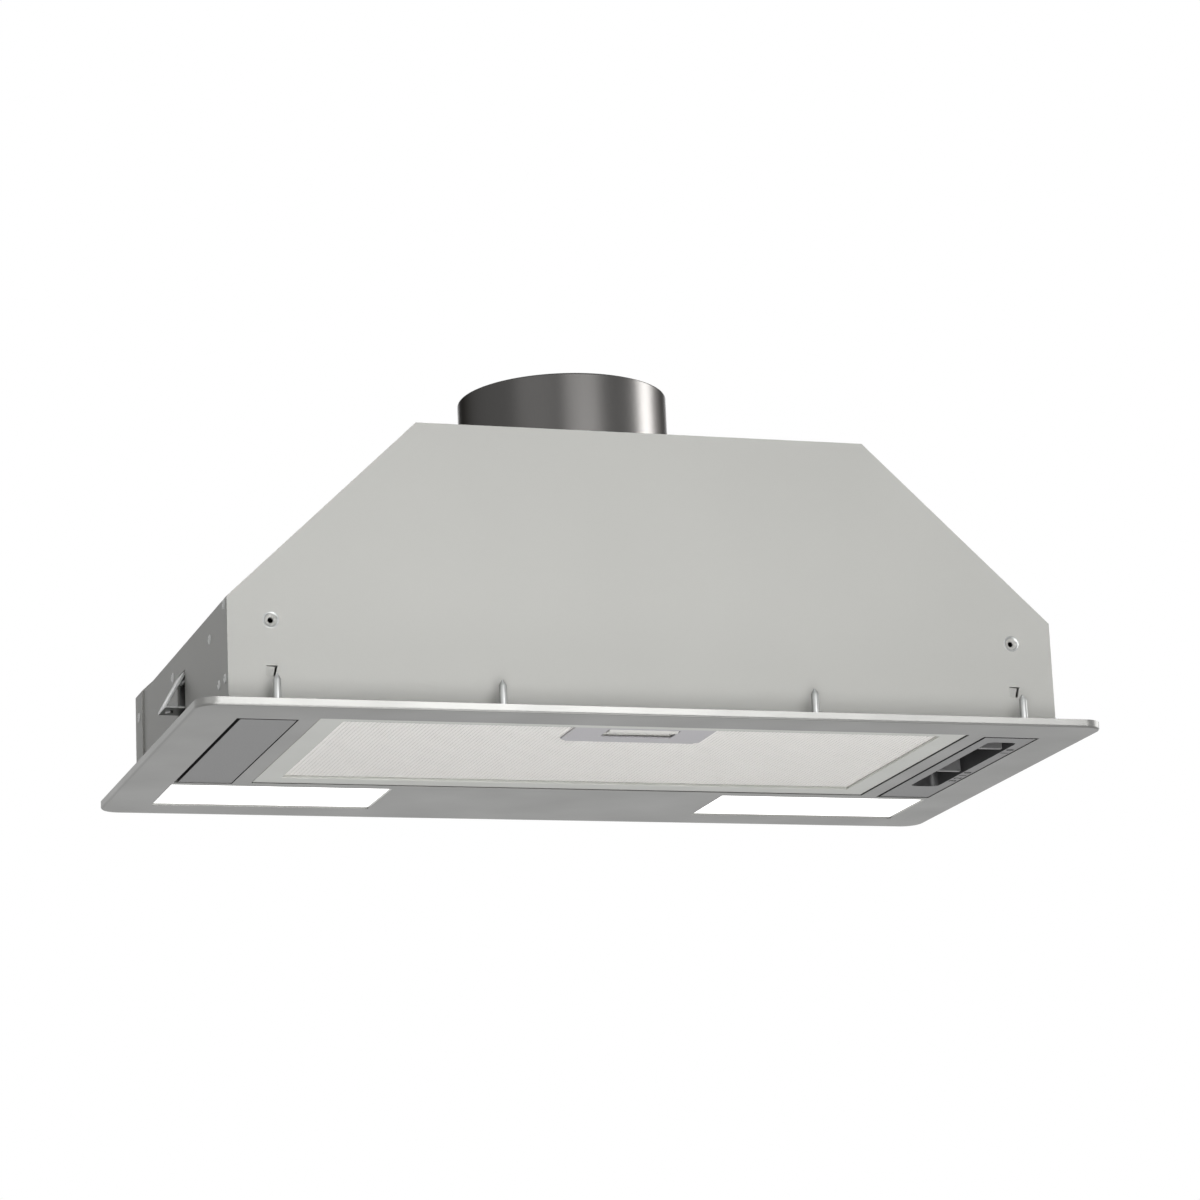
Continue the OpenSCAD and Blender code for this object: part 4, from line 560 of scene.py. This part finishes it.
def makeDuctCollar(p):
    # One closed profile turned about the duct's axis, with rows near its ends that keep the shading straight,
    # and a lapped seam strip at the back, pressed in at each spot by depth exp(-(distance / radius)^2)
    ro, ri, t, h = p["outer"], p["outer"] - p["wall"], p["wall"], p["height"]
    rim = p["flange"]
    profile = [(ri, 0), (rim - 0.2, 0), (rim, 0.2), (rim, t - 0.2), (rim - 0.2, t), (ro + 1.0, t),
               (ro + 0.35, t + 0.3), (ro, t + 1.0), (ro, t + 1.5), (ro, h - 1.0), (ro, h - 0.5),
               (ro - 0.15, h - 0.15), (ro - 0.5, h), (ri + 0.15, h - 0.15), (ri, h - 0.5), (ri, h - 1.0),
               (ri, p["ledge"]), (ri - p["ledgeWidth"], p["ledge"]),
               (ri - p["ledgeWidth"], p["ledge"] - t), (ri, p["ledge"] - t), (ri, 0)]
    body = turned(profile, p["centre"], p["steps"])
    half = math.degrees(p["seamWidth"] / ro / 2)
    turns = np.radians(np.linspace(p["seamTurn"] - half, p["seamTurn"] + half, p["seamSteps"]))
    turn, z = np.meshgrid(turns, np.linspace(t + 1.2, h - 0.8, p["seamRows"]), indexing="ij")
    inner = np.ones((p["seamSteps"], 1))
    inner[[0, -1]] = 0.0
    spacing = (h - 2 * p["spotMargin"]) / p["spots"]
    aside = (turn - math.radians(p["seamTurn"])) * ro
    middle = np.hypot(aside, (z - p["spotMargin"]) % spacing - spacing / 2)
    spot = p["spotDepth"] * np.exp(-(middle / p["spotRadius"]) ** 2)
    lap = ro - p["seamSunk"] + p["seamRise"] * inner - spot
    seam = np.stack([lap * np.cos(turn), lap * np.sin(turn), z], -1) + np.asarray(p["centre"])
    strip = (seam, gridFaces(p["seamSteps"], p["seamRows"]))
    return meshPiece("ductCollar", *millimetres(joined([body, strip])))


collar = finished(makeDuctCollar(ductCollar), "collar_steel")
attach(collar, "housing")
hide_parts("duct_collar")
print("duct collar turned")


# Small turned fittings: locating pins, dimples, rivets, screws

pinSet = {"spans": (430.0, 180.0), "y": -134.0, "base": 1.2, "radius": 2.2, "shoulder": 17.5, "tip": 20.5,
          "steps": 28}
dimpleSet = {"span": 430.0, "face": -123.4, "z": 52.5, "rim": 4.6, "mouth": 4.0, "hole": 1.6, "depth": 2.4,
             "steps": 40}
# Rivet places: side, Y, Z
bothWalls = ((-116.4, 21.0), (-116.4, 62.0), (21.3, 53.5))
rivetSet = {"radius": 2.8, "height": 0.9, "wall": 239.0, "flangeWall": 240.0, "steps": 24, "smooth": 50.0,
            "wallPlaces": [(s, y, z) for s in (-1, 1) for y, z in bothWalls]
            + [(-1, -100.8, 21.0), (-1, -78.9, 51.5)],
            "flangePlaces": [(s, 115.8, z) for s in (-1, 1) for z in (21.0, 51.5)]}
screwSet = {"radius": 3.0, "height": 1.8, "cross": 0.45, "reach": 1.9, "depth": 0.9, "steps": 48, "rings": 15,
            "smooth": 40.0, "angles": (45, 135, 225, 315)}


def makePins(p):
    # A weld fillet at the foot, a straight shank, and a waisted point
    r, low = p["radius"], p["base"]
    top, tip = p["shoulder"] - low, p["tip"] - low
    profile = [(0, 0), (r + 0.5, 0), (r + 0.5, 0.25), (r, 0.8), (r, top - 0.3), (r - 0.12, top),
               (r * 0.62, tip - 1.5), (r * 0.34, tip - 0.75), (r * 0.36, tip - 0.45), (r * 0.27, tip - 0.12),
               (r * 0.1, tip), (0, tip)]
    parts = [turned(profile, (s * span / 2, p["y"], low), p["steps"]) for span in p["spans"] for s in (-1, 1)]
    return meshPiece("locatingPins", *millimetres(joined(parts)))


def makeDimples(p):
    # Bare conical countersinks, pressed in along +Y, lining the panel's own dimples
    bore = p["hole"] - 0.05
    profile = [(p["rim"], 0.05), (p["rim"] - 0.2, 0.12), (p["mouth"] - 0.2, 0.0), (p["mouth"] * 0.72, -0.7),
               (p["hole"] + 0.35, -p["depth"] + 0.25), (bore, -p["depth"] - 0.2), (bore, -p["depth"] - 0.9)]
    parts = [turned(profile, (s * p["span"] / 2, p["face"], p["z"]), p["steps"], "-y") for s in (-1, 1)]
    return meshPiece("screwDimples", *millimetres(joined(parts)))


def makeRivets(p):
    # Domed blind rivet heads: height (1 - t^2)^0.6 at the share t of the radius, sunk in the middle by the
    # mandrel's mark
    r = np.linspace(0, 1, 9)[::-1]
    dome = [(p["radius"] * t, p["height"] * (1 - t * t) ** 0.6 * (0.45 if t < 0.3 else 1.0)) for t in r]
    profile = [(0, 0), (p["radius"], 0)] + dome
    parts = []
    for wall, places in ((p["wall"], p["wallPlaces"]), (p["flangeWall"], p["flangePlaces"])):
        parts += [turned(profile, (s * wall, y, z), p["steps"], "x" if s > 0 else "-x") for s, y, z in places]
    return meshPiece("panelRivets", *millimetres(joined(parts)), p["smooth"])


def crossHead(p, centre):
    # A pan head over a polar grid: height = dome - depth where the point lies in one arm of the cross
    steps, rings = p["steps"], p["rings"]
    radius = np.linspace(0, 1, rings)[:, None] * p["radius"]
    angle = np.linspace(0, 2 * math.pi, steps, endpoint=False)[None, :]
    x, y = radius * np.cos(angle), radius * np.sin(angle)
    dome = p["height"] * (1 - 0.75 * (radius / p["radius"]) ** 4) + 0 * angle
    arm = np.minimum(np.abs(x), np.abs(y)) < p["cross"]
    cut = np.where(arm & (radius < p["reach"]), p["depth"] * (1 - 0.6 * radius / p["reach"]), 0)
    top = np.stack([x, y, dome - cut], -1)
    foot = np.stack([x[-1], y[-1], 0 * x[-1]], -1)[None]
    points = np.concatenate([top, foot]) + np.asarray(centre, float)
    return points, gridFaces(rings + 1, steps, closeColumns=True)


def makeCollarScrews(p, tube):
    # Heads on the middle of the collar's flange
    reach, base = (tube["outer"] + tube["flange"]) / 2, tube["centre"][2] + tube["wall"]
    parts = [crossHead(p, (reach * math.cos(a), tube["centre"][1] + reach * math.sin(a), base))
             for a in np.radians(p["angles"])]
    return meshPiece("collarScrews", *millimetres(joined(parts)), p["smooth"])


fittings = ((makePins(pinSet), "locating_pins"), (makeDimples(dimpleSet), None),
            (makeRivets(rivetSet), "panel_rivets"), (makeCollarScrews(screwSet, ductCollar), "collar_screws"))
for fitting, stands in fittings:
    finished(fitting, "zinc_steel")
    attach(fitting, "housing")
    if stands:
        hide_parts(stands)
print("pins, dimples, rivets and screws turned")


# Marks on the control insert

# Signs: the number and its Y
marks = {"x": 228.8, "height": 0.35, "size": 6.2, "thick": 0.02, "swell": 0.12,
         "signs": [("0", -80.5), ("1", -72.0), ("0", -16.7), ("1", -8.9), ("2", -1.1), ("3", 6.7)]}


def makeMarks(p):
    # Plain numbers beside the sliders' stops, flat against the insert and read from below
    parts = []
    for text, y in p["signs"]:
        curve = bpy.data.curves.new("mark", "FONT")
        curve.body, curve.size, curve.align_x, curve.align_y = text, p["size"] * mm, "CENTER", "CENTER"
        curve.extrude, curve.offset = p["thick"] * mm, p["swell"] * mm
        shape = bpy.data.objects.new("mark", curve)
        mesh = bpy.data.meshes.new_from_object(shape)
        bpy.data.objects.remove(shape)
        place = Matrix.Translation(Vector((p["x"], y, p["height"])) * mm)
        mesh.transform(place @ Matrix.Rotation(math.pi, 4, "X") @ Matrix.Rotation(math.pi / 2, 4, "Z"))
        parts.append(([tuple(v.co) for v in mesh.vertices], [tuple(f.vertices) for f in mesh.polygons]))
    points, faces = joined(parts)
    return meshPiece("controlMarks", points, faces)


signs = makeMarks(marks)
signs.data.materials.append(coatedSheet("markPaint", srgb(24, 24, 25), 0.7, specular=0.0).material)
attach(signs, "housing")
print("marks printed")


# Camera, light and ground

# Degrees, metres, and millimetres for the lens and its sensor
camera = {"azimuth": -17.942, "elevation": -14.091, "roll": 2.502, "distance": 2.356863,
          "target": (0.010742, 0.0, 0.102349), "lens": 121.04, "sensor": 36.0, "farthest": 50.0}


def placeCamera():
    # Looks from azimuth and elevation at the target, turned about its own axis by the roll
    azimuth, elevation = math.radians(camera["azimuth"]), math.radians(camera["elevation"])
    level = math.cos(elevation)
    back = Vector((math.sin(azimuth) * level, -math.cos(azimuth) * level, math.sin(elevation)))
    right = (-back).cross(Vector((0, 0, 1))).normalized()
    up = back.cross(right)
    roll = math.radians(camera["roll"])
    right, up = right * math.cos(roll) - up * math.sin(roll), right * math.sin(roll) + up * math.cos(roll)
    data = bpy.data.cameras.new("camera")
    data.lens, data.sensor_width, data.clip_end = camera["lens"], camera["sensor"], camera["farthest"]
    eye = bpy.data.objects.new("camera", data)
    turn = Matrix((right, up, back)).transposed().to_4x4()
    eye.matrix_world = Matrix.Translation(Vector(camera["target"]) + back * camera["distance"]) @ turn
    scene.collection.objects.link(eye)
    scene.camera = eye


def softLamp(name, place, aim, width, height, energy, lights):
    # A rectangular lamp turned from its place towards its aim
    data = bpy.data.lights.new(name, "AREA")
    data.shape = "RECTANGLE"
    data.size, data.size_y, data.energy = width, height, energy
    lamp = bpy.data.objects.new(name, data)
    lamp.location = place
    lamp.rotation_euler = (Vector(aim) - Vector(place)).to_track_quat("-Z", "Y").to_euler()
    lamp.visible_diffuse = lights
    scene.collection.objects.link(lamp)


def greater(tree, first, second):
    # The larger of two values, as a node's result
    most = tree.nodes.new("ShaderNodeMath")
    most.operation = "MAXIMUM"
    tree.links.new(first, most.inputs[0])
    tree.links.new(second, most.inputs[1])
    return most.outputs[0]


def whiteForCamera(tree, shaded, white, share=1.0):
    # Camera, glossy and transmission rays see plain white by the share; the rest see the shaded colour
    path = tree.nodes.new("ShaderNodeLightPath")
    seen = greater(tree, path.outputs["Is Camera Ray"], path.outputs["Is Glossy Ray"])
    seen = greater(tree, seen, path.outputs["Is Transmission Ray"])
    scaled = tree.nodes.new("ShaderNodeMath")
    scaled.operation = "MULTIPLY"
    tree.links.new(seen, scaled.inputs[0])
    scaled.inputs[1].default_value = share
    mix = tree.nodes.new("ShaderNodeMixShader")
    tree.links.new(scaled.outputs[0], mix.inputs[0])
    tree.links.new(shaded, mix.inputs[1])
    tree.links.new(white, mix.inputs[2])
    return mix.outputs[0]


studio = {"ambient": 0.16, "floorTone": 0.82, "floorHeight": -2.6, "floorSize": 12.0, "floorWhite": 0.85,
          "floorRough": 0.9, "floorGrain": 0.4}
# Each lamp: place, aim, width, height, watts, and whether it lights surfaces or only shows in their gloss
lamps = {
    "key": ((-0.2, -1.08, -0.38), (0, 0, 0.08), 0.6, 0.6, 6.2, True),
    "under": ((0.15, -0.4, -1.15), (0, -0.05, 0), 0.8, 0.8, 5.2, True),
    "panel": ((0.2, -2.2, 0.66), (0, 0, 0.05), 1.5, 0.9, 16.0, True),
    "right": ((2.3, 0.3, 0.5), (0, 0, 0.08), 1.5, 1.0, 14.0, True),
    "back": ((0.75, 2.3, 0.7), (0, 0, 0.08), 1.8, 1.0, 17.0, True),
    "top": ((0, 0.3, 2.3), (0, 0, 0.15), 1.6, 1.2, 12.0, True),
    "strip": ((1.75, -0.08, 0.62), (0, 0.02, 0.2), 0.6, 1.0, 46.0, False),
    "line": ((0.6, -2.2, 0.34), (0, 0, 0), 1.3, 0.4, 8.0, False),
    "card": ((-1.7, -1.6, 0.8), (0, 0.02, 0.2), 1.8, 1.0, 6.0, False),
}

world = bpy.data.worlds.new("studio")
scene.world = world
world.use_nodes = True
tree = world.node_tree
tree.nodes.clear()
dim, bright = tree.nodes.new("ShaderNodeBackground"), tree.nodes.new("ShaderNodeBackground")
output = tree.nodes.new("ShaderNodeOutputWorld")
for background, strength in ((dim, studio["ambient"]), (bright, 1.0)):
    background.inputs["Color"].default_value = (1, 1, 1, 1)
    background.inputs["Strength"].default_value = strength
tree.links.new(whiteForCamera(tree, dim.outputs[0], bright.outputs[0]), output.inputs["Surface"])

placeCamera()
for lampName, lampSettings in lamps.items():
    softLamp(lampName, *lampSettings)

# The strip shows in the collar alone, because it would burn out the front panel from other sides
stripOnly = bpy.data.collections.new("stripOnly")
stripOnly.objects.link(collar)
bpy.data.objects["strip"].light_linking.receiver_collection = stripOnly

half, level = studio["floorSize"] / 2, studio["floorHeight"]
floorCorners = [(x * half, y * half, level) for x, y in ((-1, -1), (1, -1), (1, 1), (-1, 1))]
floor = meshPiece("floor", floorCorners, [(0, 1, 2, 3)])
floorPaint = Finish("floorPaint", (studio["floorTone"],) * 3 + (1.0,), 0.0, studio["floorRough"])
floorPaint.tint(floorPaint.noise(studio["floorGrain"], 2.0), 0.99, 1.01)
glow = floorPaint.tree.nodes.new("ShaderNodeEmission")
shaded = floorPaint.shader.outputs[0]
floorSeen = whiteForCamera(floorPaint.tree, shaded, glow.outputs[0], studio["floorWhite"])
floorPaint.tree.links.new(floorSeen, floorPaint.tree.nodes["Material Output"].inputs["Surface"])
floor.data.materials.append(floorPaint.material)
print("camera, lamps and floor placed")
